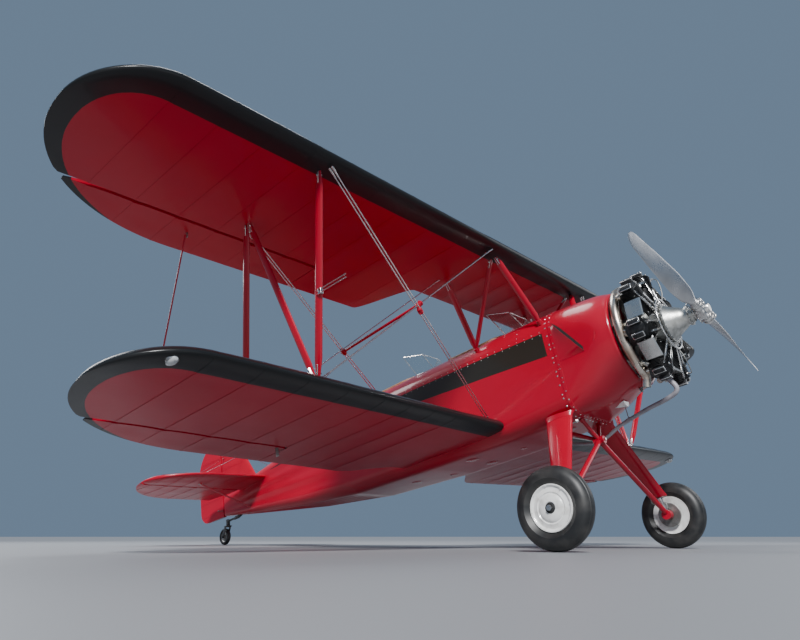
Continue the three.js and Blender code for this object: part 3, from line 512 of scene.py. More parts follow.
def node_tree(name, **sizes):
    """A Geometry Nodes tree with an input for its geometry, for each size and for the finish."""
    tree = bpy.data.node_groups.new(name, "GeometryNodeTree")
    for way in ("INPUT", "OUTPUT"):
        tree.interface.new_socket("Geometry", in_out=way, socket_type="NodeSocketGeometry")
    for size, value in sizes.items():
        kind = "NodeSocketInt" if isinstance(value, int) else "NodeSocketFloat"
        tree.interface.new_socket(size, in_out="INPUT", socket_type=kind).default_value = value
    tree.interface.new_socket("Finish", in_out="INPUT", socket_type="NodeSocketMaterial")
    return tree, tree.nodes.new("NodeGroupInput").outputs


def close_tree(tree, given, shape):
    """Ends a tree: its shape gets the finish and goes out."""
    finish = add(tree, "GeometryNodeSetMaterial", {"Geometry": shape, "Material": given["Finish"]})
    add(tree, "NodeGroupOutput", {"Geometry": finish.outputs["Geometry"]})


def swept(tree, given, curve, profile):
    """Ends a tree with a profile drawn along a curve, its ends closed."""
    sweep = add(tree, "GeometryNodeCurveToMesh",
                {"Curve": curve, "Profile Curve": profile, "Fill Caps": True})
    close_tree(tree, given, sweep.outputs["Mesh"])


def finished_mesh(holder, *tools):
    """The plain mesh of an object after its modifiers. The object and its tools are removed."""
    evaluated = holder.evaluated_get(bpy.context.evaluated_depsgraph_get())
    made = bpy.data.meshes.new_from_object(evaluated)
    for one in (holder, *tools):
        bpy.data.objects.remove(one)
    return made


def grow(base, tree, **values):
    """What a tree makes of a mesh, with its inputs set by their identifiers."""
    holder = added("grow", base)
    modifier = holder.modifiers.new("grow", "NODES")
    modifier.node_group = tree
    for item in tree.interface.items_tree:
        if item.item_type == "SOCKET" and item.in_out == "INPUT" and item.name in values:
            modifier[item.identifier] = values[item.name]
    return finished_mesh(holder)


def path_mesh(lines):
    """Open polylines as loose edges."""
    points, edges = [], []
    for line in lines:
        edges.extend((len(points) + step, len(points) + step + 1) for step in range(len(line) - 1))
        points.extend(line)
    return mesh_of(points, edges=edges)


# A flat strip along each path, its width across the span.
tape_tree, given = node_tree("tape_strips", Width=0.04, Rise=0.002)
curve = add(tape_tree, "GeometryNodeMeshToCurve", {"Mesh": given["Geometry"]})
across = add(tape_tree, "GeometryNodeSetCurveNormal", mode="FREE")
feed(tape_tree, across, {"Curve": curve.outputs["Curve"], "Normal": (1, 0, 0)})
strip = add(tape_tree, "GeometryNodeCurvePrimitiveQuadrilateral",
            {"Width": given["Width"], "Height": given["Rise"]})
swept(tape_tree, given, across.outputs["Curve"], strip.outputs["Curve"])


def tape_runs(ring, edges, span, width, lift):
    """A rib's outline, a touch off the cloth: one run round the nose, or two that stop at a swept edge."""
    half = len(ring) // 2
    lifted = [(x, y, z + (lift if step <= half else -lift)) for step, (x, y, z) in enumerate(ring)]
    here, beside = edges(span), [edges(span + side * width / 2) for side in (-1, 1)]
    front = max(edge[0] for edge in beside) + EDGE_SPARE
    rear = min(edge[1] for edge in beside) - EDGE_SPARE
    if front - here[0] < 0.005 and here[1] - rear < 0.005:
        return [lifted]
    runs = [[point for point in run if front < point[1] < rear]
            for run in (lifted[:half + 1], lifted[half + 1:])]
    return [run for run in runs if len(run) > 2]


def rib_tape(wing, x, start_y=None, end_y=None):
    return tape_runs(section_ring(wing, x, start_y, end_y), lambda span: wing_at(wing, span), x, TAPE_WIDTH,
                     TAPE_RISE * 0.35)


for level, wing in WINGS.items():
    bay_face = wing["nose"] + AILERON_HINGE - HINGE_FACE - EDGE_SPARE
    flap_nose = wing["nose"] + AILERON_HINGE + AILERON_SETBACK + EDGE_SPARE
    wing_lines, flap_lines = [], []
    for x in wing_ribs[level][:-1]:
        wing_lines.extend(rib_tape(wing, x, None, bay_face if x > AILERON_INBOARD - 0.01 else None))
        if x > AILERON_INBOARD + 0.02 and wing_at(wing, x)[1] > flap_nose + 0.05:
            flap_lines.extend(rib_tape(wing, x, flap_nose))
    if level == "upper":
        for x in centre_ribs[3:]:
            wing_lines.extend(rib_tape(CENTRE_WING, x))
    for lines, kind, body in ((wing_lines, "wing", "airframe"),
                              (flap_lines, "aileron", f"{level}_aileron_*")):
        strips = grow(path_mesh(lines), tape_tree, Width=TAPE_WIDTH, Rise=TAPE_RISE, Finish=wing_cloth)
        paint_band(strips, edge_line(wing, wing["root"] if level == "lower" else 0.0))
        settle_pair(strips, f"{level}_{kind}_tapes_*", wing_cloth, body=body)


# Fuselage
# Welded steel tube, faired with stringers and covered with doped cloth behind the engine. The forward
# sides and the deck round the two open cockpits are aluminium sheet held by rows of screws.

FIRE_WALL = -0.6
LONGERON = 0.69
TAIL_JOIN = 1.9
STERN_POST = 4.41
JOINT_GAP = 0.0005
BODY = np.array([
    # y, half width, bottom, longeron, top, corner radius
    [FIRE_WALL, 0.41, -0.035, LONGERON, 0.95, 0.17],
    [0.0, 0.43, -0.06, LONGERON, 0.945, 0.14],
    [0.9, 0.425, -0.06, LONGERON, 0.935, 0.13],
    [TAIL_JOIN, 0.365, -0.03, LONGERON, 0.93, 0.12],
    [2.8, 0.265, 0.07, 0.645, 0.82, 0.1],
    [3.7, 0.15, 0.215, 0.57, 0.69, 0.06],
    [STERN_POST, 0.04, 0.33, 0.5, 0.57, 0.02],
])
ARCH_STEPS = 24
SIDE_STEPS = 14
CORNER_STEPS = 8
BELLY_STEPS = 8
STRINGER_DEPTH = 0.009
TUB_WALL = 0.022
DECK_WALL = 0.01
STRIPE_COLOUR = (0.02, 0.018, 0.014, 1)
STRIPE_EDGES = [
    # y, lower edge, upper edge of the dark stripe
    (-0.54, 0.485, 0.7),
    (0.3, 0.525, 0.69),
    (1.9, 0.612, 0.686),
    (3.3, 0.598, 0.606),
]
COCKPITS = [
    # name, start, end, half width of the rim, start and end of the well
    ("front", -0.06, 0.6, 0.3, -0.38, 0.72),
    ("rear", 1.01, 1.61, 0.255, 0.76, 1.78),
]


def body_row(y):
    return [float(np.interp(y, BODY[:, 0], BODY[:, column])) for column in range(6)]


def body_half(y, stringers=0.0, arch=True, under=True, row=None):
    """The left-hand half of the fuselage's section, from the deck's ridge down to the keel."""
    place, half_width, bottom, longeron, top, corner = row or body_row(y)
    corner = min(corner, half_width)
    points = []
    if arch:
        for step in range(ARCH_STEPS + 1):
            angle = math.pi / 2 * step / ARCH_STEPS
            facet = stringers * abs(math.sin(3 * angle)) * 0.6
            points.append((half_width * math.sin(angle) - facet * math.sin(angle),
                           longeron + (top - longeron) * math.cos(angle) - facet * math.cos(angle)))
    if under:
        side_foot = bottom + corner
        for step in range(1 if arch else 0, SIDE_STEPS + 1):
            share = step / SIDE_STEPS
            hollow = stringers * abs(math.sin(3 * math.pi * share))
            points.append((half_width - hollow, longeron + (side_foot - longeron) * share))
        for step in range(1, CORNER_STEPS + 1):
            angle = math.pi / 2 * step / CORNER_STEPS
            points.append((half_width - corner + corner * math.cos(angle),
                           side_foot - corner * math.sin(angle)))
        for step in range(1, BELLY_STEPS + 1):
            share = step / BELLY_STEPS
            hollow = stringers * abs(math.sin(2 * math.pi * share))
            points.append(((half_width - corner) * (1 - share), bottom + hollow))
    return [(x, place, z) for x, z in points]


def whole_ring(half):
    """Both halves of a section, one after the other round the body."""
    return half + [(-x, y, z) for x, y, z in reversed(half[1:-1])]


def frames_between(first, last, pitch):
    count = max(2, round((last - first) / pitch))
    spans = {first + (last - first) * step / count for step in range(count + 1)}
    spans.update(float(y) for y in BODY[:, 0] if first < y < last)
    return sorted(spans)


def striped_red(name, weave, coat):
    """Red dope with the dark stripe, which follows the upper longeron and thins out to the tail."""
    material = red_dope(name, weave=weave, coat=coat)
    tree = material.node_tree
    shader = next(node for node in tree.nodes if node.type == "BSDF_PRINCIPLED")
    red = shader.inputs["Base Color"].links[0].from_socket
    level = add(tree, "ShaderNodeMapping", {"Vector": own_place(tree), "Rotation": row_to_level.to_euler(),
                                            "Location": row_to_level.translation})
    place = add(tree, "ShaderNodeSeparateXYZ", {"Vector": level.outputs["Vector"]}).outputs
    first, last = STRIPE_EDGES[0][0], STRIPE_EDGES[-1][0]
    edges = add(tree, "ShaderNodeValToRGB", {"Fac": between(tree, place["Y"], first, last, 0, 1)})
    elements = edges.color_ramp.elements
    for y, _, _ in STRIPE_EDGES[1:-1]:
        elements.new((y - first) / (last - first))
    for element, (_, low, high) in zip(elements, STRIPE_EDGES):
        element.color = (low, high, 0, 1)
    edge = add(tree, "ShaderNodeSeparateColor", {"Color": edges.outputs["Color"]}).outputs
    inside = sums(tree, "GREATER_THAN", place["Z"], edge["Red"])
    for operation, one, limit in (("LESS_THAN", place["Z"], edge["Green"]),
                                  ("GREATER_THAN", place["Y"], first), ("LESS_THAN", place["Y"], last)):
        inside = sums(tree, "MULTIPLY", inside, sums(tree, operation, one, limit))
    feed(tree, shader, {"Base Color": mixed(tree, inside, red, STRIPE_COLOUR)})
    return material


def modified(mesh, kind, **settings):
    """A mesh after one modifier."""
    holder = added("work", mesh)
    modifier = holder.modifiers.new("work", kind)
    for key, value in settings.items():
        setattr(modifier, key, value)
    return finished_mesh(holder)


def open_sheet(rings):
    """A sheet through open rings, mirrored onto the other side and joined along the middle."""
    points, faces = grid(rings)
    count = len(points)
    points.extend([(-x, y, z) for x, y, z in points])
    faces.extend([tuple(count + corner for corner in reversed(face)) for face in faces])
    return tidy(mesh_of(points, faces))


def inward(mesh, thickness):
    """Gives an open sheet its thickness, toward the body's middle."""
    face = mesh.polygons[len(mesh.polygons) // 4]
    away = (face.center - Vector((0, face.center.y, 0.45))).dot(face.normal) > 0
    return modified(mesh, "SOLIDIFY", thickness=thickness, offset=-1.0 if away else 1.0, use_even_offset=True)


def round_outline(start, end, half_width, radius, steps):
    """A rectangle in plan, from start to end, with round corners."""
    points = []
    corners = ((1, end - radius), (-1, end - radius), (-1, start + radius), (1, start + radius))
    for number, (side, y) in enumerate(corners):
        for step in range(steps + 1):
            angle = math.radians(90 * number + 90 * step / steps)
            x = side * (half_width - radius) + radius * math.cos(angle)
            points.append((x, y + radius * math.sin(angle)))
    return points


def rim_outline(start, end, half_width, steps=10):
    """A cockpit rim in plan, with generous round corners."""
    return round_outline(start, end, half_width, 0.75 * half_width, steps)


def cut_by(mesh, *tools):
    """A mesh with other closed meshes cut out of it."""
    target = added("target", mesh)
    holders = [added("tool", tool) for tool in tools]
    for holder in holders:
        modifier = target.modifiers.new("cut", "BOOLEAN")
        modifier.operation = "DIFFERENCE"
        modifier.solver = "EXACT"
        modifier.object = holder
    return finished_mesh(target, *holders)


def deck_height(x, y):
    """The deck's outside at one place."""
    _, half_width, _, longeron, top, _ = body_row(y)
    return longeron + (top - longeron) * math.sqrt(max(0.0, 1 - (x / half_width) ** 2))


body_cloth = striped_red("body_cloth", WEAVE, 0.2)
body_sheet = striped_red("body_sheet", 0.0, 0.4)
plain_sheet = red_dope("plain_sheet", weave=0.0, coat=0.5)
rear_rings = []
for y in frames_between(TAIL_JOIN + JOINT_GAP, STERN_POST, 0.05):
    fade = smooth_step(y, TAIL_JOIN, TAIL_JOIN + 0.25) * smooth_step(STERN_POST - y, 0.0, 0.9)
    rear_rings.append(whole_ring(body_half(y, STRINGER_DEPTH * fade)))
settle(skin(rear_rings), "rear_fuselage_skin", body_cloth, "rear_fuselage")
tub = open_sheet([body_half(y, arch=False) for y in frames_between(FIRE_WALL + JOINT_GAP, TAIL_JOIN, 0.06)])
settle(inward(tub, TUB_WALL), "fuselage_tub_skin", body_sheet, "fuselage_tub")
deck = open_sheet([body_half(y, under=False) for y in frames_between(FIRE_WALL + JOINT_GAP, TAIL_JOIN, 0.05)])
rims = [skin([[(x, y, z) for x, y in rim_outline(start, end, half)] for z in (LONGERON + 0.005, 1.2)])
        for _, start, end, half, _, _ in COCKPITS]
settle(cut_by(inward(deck, DECK_WALL), *rims), "cockpit_deck_skin", plain_sheet, "cockpit_deck")


# Nose cowl
# Aluminium sheet runs from the flat-sided fuselage to a round rolled lip behind the cylinders, fixed by
# a ring of quarter-turn studs. A louvred cheek on each side lets the hot air out.

LIP_RADIUS = 0.385
LIP_TUBE = 0.025
LIP_Y = -1.095
LIP_STEPS = 12
WELL_FLOOR = (-0.99, 0.34)
COWL = np.array([
    # y, half width, bottom, longeron, top, corner radius
    [LIP_Y, 0.41, 0.09, 0.5, 0.91, 0.41],
    [-1.02, 0.425, 0.08, 0.52, 0.93, 0.4],
    [-0.85, 0.422, 0.015, 0.59, 0.945, 0.33],
    [FIRE_WALL, 0.41, -0.035, LONGERON, 0.95, 0.17],
])
STUD_PITCH = 0.062
SEAM_BAND = [
    # y, height above the sheet
    (FIRE_WALL - 0.034, 0.0002), (FIRE_WALL - 0.033, 0.0018), (FIRE_WALL - 0.004, 0.0018),
]
LOUVRE_TOP = (-0.622, 0.775)
LOUVRE_FRONT = (-0.87, 0.4)
LOUVRE_LIMIT = -0.621
LOUVRE_RISE = 0.03
LOUVRE_ROWS = 18
LOUVRE_COLUMNS = 14
MOUTH_DEPTH = 0.026
BULKHEAD_PROFILE = [
    # radius, y
    (0.148, -0.9915), (0.338, -0.9915), (0.338, -0.9965), (0.148, -0.9965), (0.148, -0.9915),
]


def cowl_row(y):
    """The cowl's measures at one place, on a smooth curve through the table's rows."""
    tangents = np.gradient(COWL, COWL[:, 0], axis=0)
    after = int(np.clip(np.searchsorted(COWL[:, 0], y), 1, len(COWL) - 1))
    low, high = COWL[after - 1], COWL[after]
    run = high[0] - low[0]
    t = (y - low[0]) / run
    row = ((2 * t**3 - 3 * t**2 + 1) * low + (t**3 - 2 * t**2 + t) * run * tangents[after - 1]
           + (3 * t**2 - 2 * t**3) * high + (t**3 - t**2) * run * tangents[after])
    row[0] = y
    return [float(value) for value in row]


def round_row(y, radius):
    return [y, radius, THRUST_Z - radius, THRUST_Z, THRUST_Z + radius, radius]


def outside_half(y, lift=0.0):
    """Half a section of the cowl or of the body behind it, a little off the sheet if asked."""
    row = cowl_row(y) if y < FIRE_WALL else body_row(y)
    return body_half(y, row=[row[0], row[1] + lift, row[2] - lift, row[3], row[4] + lift, row[5]])


def cowl_side(y, z):
    """The cowl's half width at one height."""
    half = outside_half(y)[::-1]
    return float(np.interp(z, [point[2] for point in half], [point[0] for point in half]))


cowl_rows = [cowl_row(y) for y in np.linspace(FIRE_WALL - JOINT_GAP, LIP_Y, 22)]
for step in range(1, LIP_STEPS + 1):
    angle = math.pi * step / LIP_STEPS
    cowl_rows.append(round_row(LIP_Y - LIP_TUBE * math.sin(angle), LIP_RADIUS + LIP_TUBE * math.cos(angle)))
cowl_rows.extend((round_row(-1.04, 0.35), round_row(*WELL_FLOOR)))
cowl_mesh = skin([whole_ring(body_half(row[0], row=row)) for row in cowl_rows], merge=5e-5)
settle(cowl_mesh, "nose_cowl_sheet", plain_sheet, "nose_cowl")


def metal(name, light, dark, smoothest, roughest, grain=30.0, bump=0.1, metallic=1.0):
    """A bare, plated or painted metal with cloudy colour, uneven polish and a fine grain."""
    material, tree, shader = new_material(name)
    cloud = noise(tree, grain, 5)
    relief(tree, shader, noise(tree, grain * 12, 3), bump, 0.0006)
    feed(tree, shader, {
        "Base Color": two_tones(tree, cloud, 0.32, (*dark, 1), 0.66, (*light, 1)),
        "Roughness": between(tree, cloud, 0.3, 0.7, roughest, smoothest), "Metallic": metallic})
    return material


bright_steel = metal("bright_steel", (0.78, 0.77, 0.75), (0.5, 0.49, 0.48), 0.16, 0.34)
dull_alloy = metal("dull_alloy", (0.42, 0.42, 0.4), (0.2, 0.2, 0.19), 0.34, 0.58, 14)
# This black is real soot inside the exhaust outlet, and painted shade in the mouths of the cheek louvres.
soot_and_shade_black = metal("soot_and_shade_black", (0.022, 0.022, 0.022), (0.008, 0.008, 0.008), 0.5, 0.8, 20, 0.2, 0.0)


def shift(x=0.0, y=0.0, z=0.0):
    return Matrix.Translation((x, y, z))


def spin(angle, axis):
    return Matrix.Rotation(angle, 4, axis)


def placed(mesh, matrix):
    mesh.transform(matrix)
    return mesh


def turned(profile, steps, axis="y", place=(0, 0, 0)):
    """A turned mesh from (radius, along) pairs. A profile that comes back to its start is a ring."""
    rings = []
    for radius, along in profile:
        ring = []
        for step in range(steps):
            angle = 2 * math.pi * step / steps
            a, b = radius * math.cos(angle), radius * math.sin(angle)
            ring.append({"x": (along, a, b), "y": (a, along, b), "z": (a, b, along)}[axis])
        rings.append(ring)
    return placed(skin(rings, profile[0] != profile[-1]), shift(*place))


def joined(meshes):
    shape = bmesh.new()
    for mesh in meshes:
        shape.from_mesh(mesh)
    whole = bpy.data.meshes.new("work")
    shape.to_mesh(whole)
    shape.free()
    whole.materials.clear()
    return whole


def repeated(tree, given, points, shape, turn):
    """Ends a tree with the shape on every point, as plain mesh."""
    spread = add(tree, "GeometryNodeInstanceOnPoints", {"Points": points, "Instance": shape, **turn})
    real = add(tree, "GeometryNodeRealizeInstances", {"Geometry": spread.outputs["Instances"]})
    close_tree(tree, given, real.outputs["Geometry"])


# A small domed head on each point, its back to the surface that the point lies on.
stud_tree, given = node_tree("studs", Radius=0.004, Height=0.002)
facing = add(stud_tree, "GeometryNodeInputNamedAttribute", {"Name": "facing"}, data_type="FLOAT_VECTOR")
turn = add(stud_tree, "FunctionNodeAlignRotationToVector", {"Vector": facing.outputs["Attribute"]}, axis="Z")
shoulder = sums(stud_tree, "MULTIPLY", given["Radius"], 0.6)
head = add(stud_tree, "GeometryNodeMeshCone", {"Vertices": 10, "Radius Top": shoulder,
                                               "Radius Bottom": given["Radius"], "Depth": given["Height"]})
repeated(stud_tree, given, given["Geometry"], head.outputs["Mesh"], {"Rotation": turn.outputs["Rotation"]})


def heads(places, radius, height, material):
    """Heads at (point, facing) pairs."""
    base = mesh_of([point for point, _ in places])
    facing = base.attributes.new("facing", "FLOAT_VECTOR", "POINT")
    for item, (_, direction) in zip(facing.data, places):
        item.vector = direction
    return grow(base, stud_tree, Radius=radius, Height=height, Finish=material)


def settle_heads(places, radius, height, material, name):
    settle(heads(places, radius, height, material), name, material)


def on_ring(half, pitch):
    """Even places along a half section, each with the way that the surface faces there."""
    places = []
    travelled = 0.0
    for before, after in zip(half, half[1:]):
        step = Vector(after) - Vector(before)
        if step.length < 1e-6:
            continue
        travelled += step.length
        if travelled >= pitch:
            travelled -= pitch
            places.append((Vector(after), Vector((-step.z, 0, step.x)).normalized()))
    return places


def both_sides(places):
    mirror = Matrix.Diagonal((-1, 1, 1))
    return places + [(mirror @ point, mirror @ facing) for point, facing in places]


def turns(count, first=0.0):
    """Even angles all the way round."""
    return [2 * math.pi * (number + first) / count for number in range(count)]


cowl_studs = []
for behind in (-0.018, 0.022):
    cowl_studs.extend(on_ring(outside_half(FIRE_WALL + behind), STUD_PITCH))
settle_heads(both_sides(cowl_studs), 0.0085, 0.004, bright_steel, "cowl_studs")
seam = open_sheet([outside_half(y, lift) for y, lift in SEAM_BAND])
settle(modified(seam, "SOLIDIFY", thickness=0.002, offset=0.0), "cowl_seam_band", plain_sheet)

# The cheek stands proud along its slanting front edge and blends down to the sheet behind. Its mouth under
# that edge is a thin black sheet of painted shade, standing for the dark opening.
cheek_rows, mouth_shade_rows = [], []
for row in range(LOUVRE_ROWS + 1):
    share = row / LOUVRE_ROWS
    edge_y, z = (a + (b - a) * share for a, b in zip(LOUVRE_TOP, LOUVRE_FRONT))
    taper = smooth_step(share, 0.0, 0.3) * smooth_step(1 - share, 0.0, 0.12)
    cheek_rows.append([])
    for column in range(LOUVRE_COLUMNS + 1):
        back = column / LOUVRE_COLUMNS
        y = min(LOUVRE_LIMIT, edge_y + (LOUVRE_TOP[0] - edge_y) * back)
        rise = LOUVRE_RISE * taper * (1 - back) ** 1.4
        cheek_rows[-1].append((cowl_side(y, z) + 0.0012 + rise, y, z))
    y = min(LOUVRE_LIMIT, edge_y + 0.004)
    inner_y = y - MOUTH_DEPTH * taper
    side_x = cowl_side(y, z) + 0.001
    mouth_shade_rows.append([(cowl_side(inner_y, z) + 0.001, inner_y, z), (side_x, y, z),
                       (side_x + LOUVRE_RISE * 0.93 * taper, y, z)])
# The black mouth sheet is painted shade: the louvre's opening is dark only because shade falls into it.
for rows, thickness, name, material in ((cheek_rows, 0.0016, "cowl_cheek_*", plain_sheet),
                                        (mouth_shade_rows, 0.0008, "cowl_cheek_mouth_*", soot_and_shade_black)):
    patch = modified(mesh_of(*grid(rows)), "SOLIDIFY", thickness=thickness, offset=0.0)
    settle_pair(tidy(patch), name, material)

settle(turned(BULKHEAD_PROFILE, 64, place=(0, 0, THRUST_Z)), "engine_bulkhead", dull_alloy)


# Crankcase
# A cast aluminium drum with a tapered nose case carries the seven cylinders and the propeller shaft. A
# ring of nuts holds the nose on, and a harness ring in front feeds the spark plugs.

CYLINDERS = 7
CYLINDER_Y = -1.32
CASE_PROFILE = [
    # radius, y
    (0.0, -0.99), (0.15, -0.9903), (0.168, -1.11), (0.176, -1.15), (0.178, -1.215), (0.181, -1.225),
    (0.181, -1.415), (0.176, -1.424), (0.156, -1.432), (0.153, -1.436), (0.166, -1.438), (0.166, -1.448),
    (0.15, -1.451), (0.136, -1.47), (0.115, -1.5), (0.1, -1.53), (0.092, -1.548), (0.084, -1.562),
    (0.074, -1.58), (0.073, -1.596), (0.082, -1.598), (0.082, -1.612), (0.064, -1.616), (0.061, -1.64),
    (0.0, -1.64),
]
CASE_NUTS = [
    # count, radius of the ring, y
    (21, 0.159, -1.449), (10, 0.077, -1.613), (28, 0.17, -1.4255),
]
HARNESS_RADIUS = 0.212
HARNESS_Y = -1.432
cast_alloy = metal("cast_alloy", (0.6, 0.6, 0.57), (0.33, 0.33, 0.31), 0.3, 0.46, 22, 0.45)


def around_thrust(radius, y, angle):
    return Vector((radius * math.sin(angle), y, THRUST_Z + radius * math.cos(angle)))


def tube(points, radius, sides=14, caps=True):
    """A round tube along a path. The radius is one value, or one for each point."""
    path = [Vector(point) for point in points]
    radii = radius if isinstance(radius, (list, tuple)) else [radius] * len(path)
    rings = []
    across = None
    for place, size in enumerate(radii):
        ahead = (path[min(place + 1, len(path) - 1)] - path[max(place - 1, 0)]).normalized()
        if across is None:
            across = ahead.orthogonal().normalized()
        across = (across - ahead * across.dot(ahead)).normalized()
        other = ahead.cross(across)
        rings.append([path[place] + (across * math.cos(angle) + other * math.sin(angle)) * size
                      for angle in turns(sides)])
    return skin(rings, caps)


def bend(points, steps=8):
    """A smooth curve through a few points."""
    path = [Vector(point) for point in points]
    path = [path[0] * 2 - path[1]] + path + [path[-1] * 2 - path[-2]]
    curve = []
    for a, b, c, d in zip(path, path[1:], path[2:], path[3:]):
        for step in range(steps):
            t = step / steps
            curve.append(0.5 * ((2 * b) + (c - a) * t + (2 * a - 5 * b + 4 * c - d) * t**2
                                + (3 * b - a - 3 * c + d) * t**3))
    curve.append(path[-2])
    return curve


settle(turned(CASE_PROFILE, 56, place=(0, 0, THRUST_Z)), "crankcase_casting", cast_alloy,
       "crankcase", angle=28)
case_nuts = [(around_thrust(radius, y, angle), Vector((0, -1, 0)))
             for count, radius, y in CASE_NUTS for angle in turns(count, 0.5)]
settle_heads(case_nuts, 0.0062, 0.009, bright_steel, "crankcase_nuts")
harness_path = [around_thrust(HARNESS_RADIUS, HARNESS_Y, 2 * math.pi * step / 72) for step in range(73)]
settle(tube(harness_path, 0.008, 12, caps=False), "ignition_harness", bright_steel)


# Cylinders
# Each is a steel barrel screwed into a cast head, both with thin cooling fins and painted with black heat
# enamel. Two rocker boxes, their push-rod tubes, two spark plugs and an intake pipe are bolted on.

FIN_BANDS = [
    # first height, last height, radius, fins
    (0.2, 0.336, 0.074, 13),
    (0.35, 0.448, 0.086, 8),
]
FIN_THICKNESS = 0.0026
CORE_PROFILE = [
    # radius, height
    (0.0, 0.184), (0.066, 0.184), (0.066, 0.195), (0.056, 0.198), (0.056, 0.338), (0.068, 0.342),
    (0.068, 0.452), (0.052, 0.462), (0.03, 0.47), (0.0, 0.472),
]
FOOT_PROFILE = [(0.0, 0.184), (0.08, 0.184), (0.08, 0.194), (0.0, 0.194)]
BOX_TURN = math.radians(24)
BOX_PLACE = (0.048, -0.008, 0.465)
PLUG_HEIGHT = 0.405
PLUG_STEPS = [
    # from, to, radius
    (0.052, 0.078, 0.01), (0.078, 0.086, 0.0125), (0.086, 0.112, 0.0065),
]
black_enamel = metal("black_enamel", (0.035, 0.036, 0.038), (0.01, 0.01, 0.011), 0.28, 0.52, 40, 0.25, 0.25)
rubber_black = metal("rubber_black", (0.02, 0.02, 0.02), (0.011, 0.011, 0.011), 0.45, 0.65, 30, 0.1, 0.0)

# A stack of thin round fins, up from the first height.
fin_tree, given = node_tree("cooling_fins", First=0.2, Pitch=0.01, Count=10, Radius=0.08, Thickness=0.002)
heights = [add(fin_tree, "ShaderNodeCombineXYZ", {"Z": given[size]}).outputs["Vector"]
           for size in ("First", "Pitch")]
stack = add(fin_tree, "GeometryNodeMeshLine", {"Count": given["Count"], "Start Location": heights[0],
                                               "Offset": heights[1]})
fin = add(fin_tree, "GeometryNodeMeshCylinder", {"Vertices": 40, "Radius": given["Radius"],
                                                 "Depth": given["Thickness"]})
repeated(fin_tree, given, stack.outputs["Mesh"], fin.outputs["Mesh"], {})


def rounded_box(size, radius, middle=(0, 0, 0), turn=None):
    """A block with rounded edges."""
    shape = bmesh.new()
    bmesh.ops.create_cube(shape, size=1.0)
    bmesh.ops.scale(shape, vec=size, verts=shape.verts)
    bmesh.ops.bevel(shape, geom=list(shape.edges), offset=radius, segments=3, profile=0.5, affect="EDGES")
    if turn is not None:
        bmesh.ops.transform(shape, matrix=turn, verts=shape.verts)
    bmesh.ops.translate(shape, vec=middle, verts=shape.verts)
    mesh = bpy.data.meshes.new("work")
    shape.to_mesh(mesh)
    shape.free()
    return mesh


def bar(middle, half, radius, sides=16):
    """A round bar about its middle, from minus to plus the half given."""
    middle, half = Vector(middle), Vector(half)
    return tube([middle - half, middle + half], radius, sides)


iron_parts = []
for first, last, radius, count in FIN_BANDS:
    iron_parts.append(grow(mesh_of([(0, 0, 0)]), fin_tree, First=first, Pitch=(last - first) / (count - 1),
                           Count=count, Radius=radius, Thickness=FIN_THICKNESS, Finish=black_enamel))
iron_parts.append(turned(CORE_PROFILE, 40, "z"))
bright_parts = []
plug_foot = Vector((0, 0, PLUG_HEIGHT))
for side in (-1, 1):
    turn = spin(side * BOX_TURN, "Y")
    box_place = (side * BOX_PLACE[0], BOX_PLACE[1], BOX_PLACE[2])
    iron_parts.append(rounded_box((0.042, 0.092, 0.056), 0.01, box_place, turn))
    lid = rounded_box((0.046, 0.096, 0.01), 0.004)
    bright_parts.append(placed(lid, shift(*box_place) @ turn @ shift(z=0.02)))
    rod_low, rod_high = Vector((side * 0.03, -0.1, 0.157)), Vector((side * 0.05, -0.044, 0.448))
    bright_parts.append(tube([rod_low, rod_high], 0.0088, 12))
    for share in (0.1, 0.9):
        collar = (rod_high - rod_low).normalized() * 0.011
        bright_parts.append(bar(rod_low.lerp(rod_high, share), collar, 0.0125, 12))
    plug_way = Vector((0.28, side, 0.16)).normalized()
    for low, high, radius in PLUG_STEPS:
        bright_parts.append(tube([plug_foot + plug_way * low, plug_foot + plug_way * high], radius, 6))
lead_top = plug_foot + Vector((0.28, -1, 0.16)).normalized() * 0.11
lead_path = bend([lead_top, lead_top + Vector((0.03, -0.02, -0.02)), (0.062, -0.128, 0.3),
                  (0.04, -0.112, 0.217)])
intake_path = bend([(0.045, 0.15, 0.15), (0.075, 0.15, 0.235), (0.08, 0.12, 0.335),
                    (0.06, 0.062, 0.402)])
foot_nuts = [(Vector((0.072 * math.cos(angle), 0.072 * math.sin(angle), 0.199)), Vector((0, 0, 1)))
             for angle in turns(8)]
bright_parts.append(heads(foot_nuts, 0.0055, 0.01, bright_steel))
iron_parts.append(turned(FOOT_PROFILE, 40, "z"))
cylinder_sets = [
    (joined(iron_parts), "cylinder_finned", black_enamel, "cylinder_iron", "cylinder_{}"),
    (joined(bright_parts), "cylinder_fittings", bright_steel, "bright_steel", ""),
    (tube(lead_path, 0.0042, 10), "plug_conduit", dull_alloy, "bright_steel", ""),
    (tube(intake_path, 0.0185, 18), "intake_pipe", cast_alloy, "engine_case", ""),
]
for number, angle in enumerate(turns(CYLINDERS), 1):
    for source, label, material, slot, replaced in cylinder_sets:
        settle(placed(source.copy(), shift(0, CYLINDER_Y, THRUST_Z) @ spin(angle, "Y")), f"{label}_{number}",
               material, replaced.format(number), angle=30)


# Baffles
# Bright sheet plates between the cylinders press the cooling air through the fins. Each is folded along
# its middle and its edges, and carries a broad flange that bridges the gap between two heads.

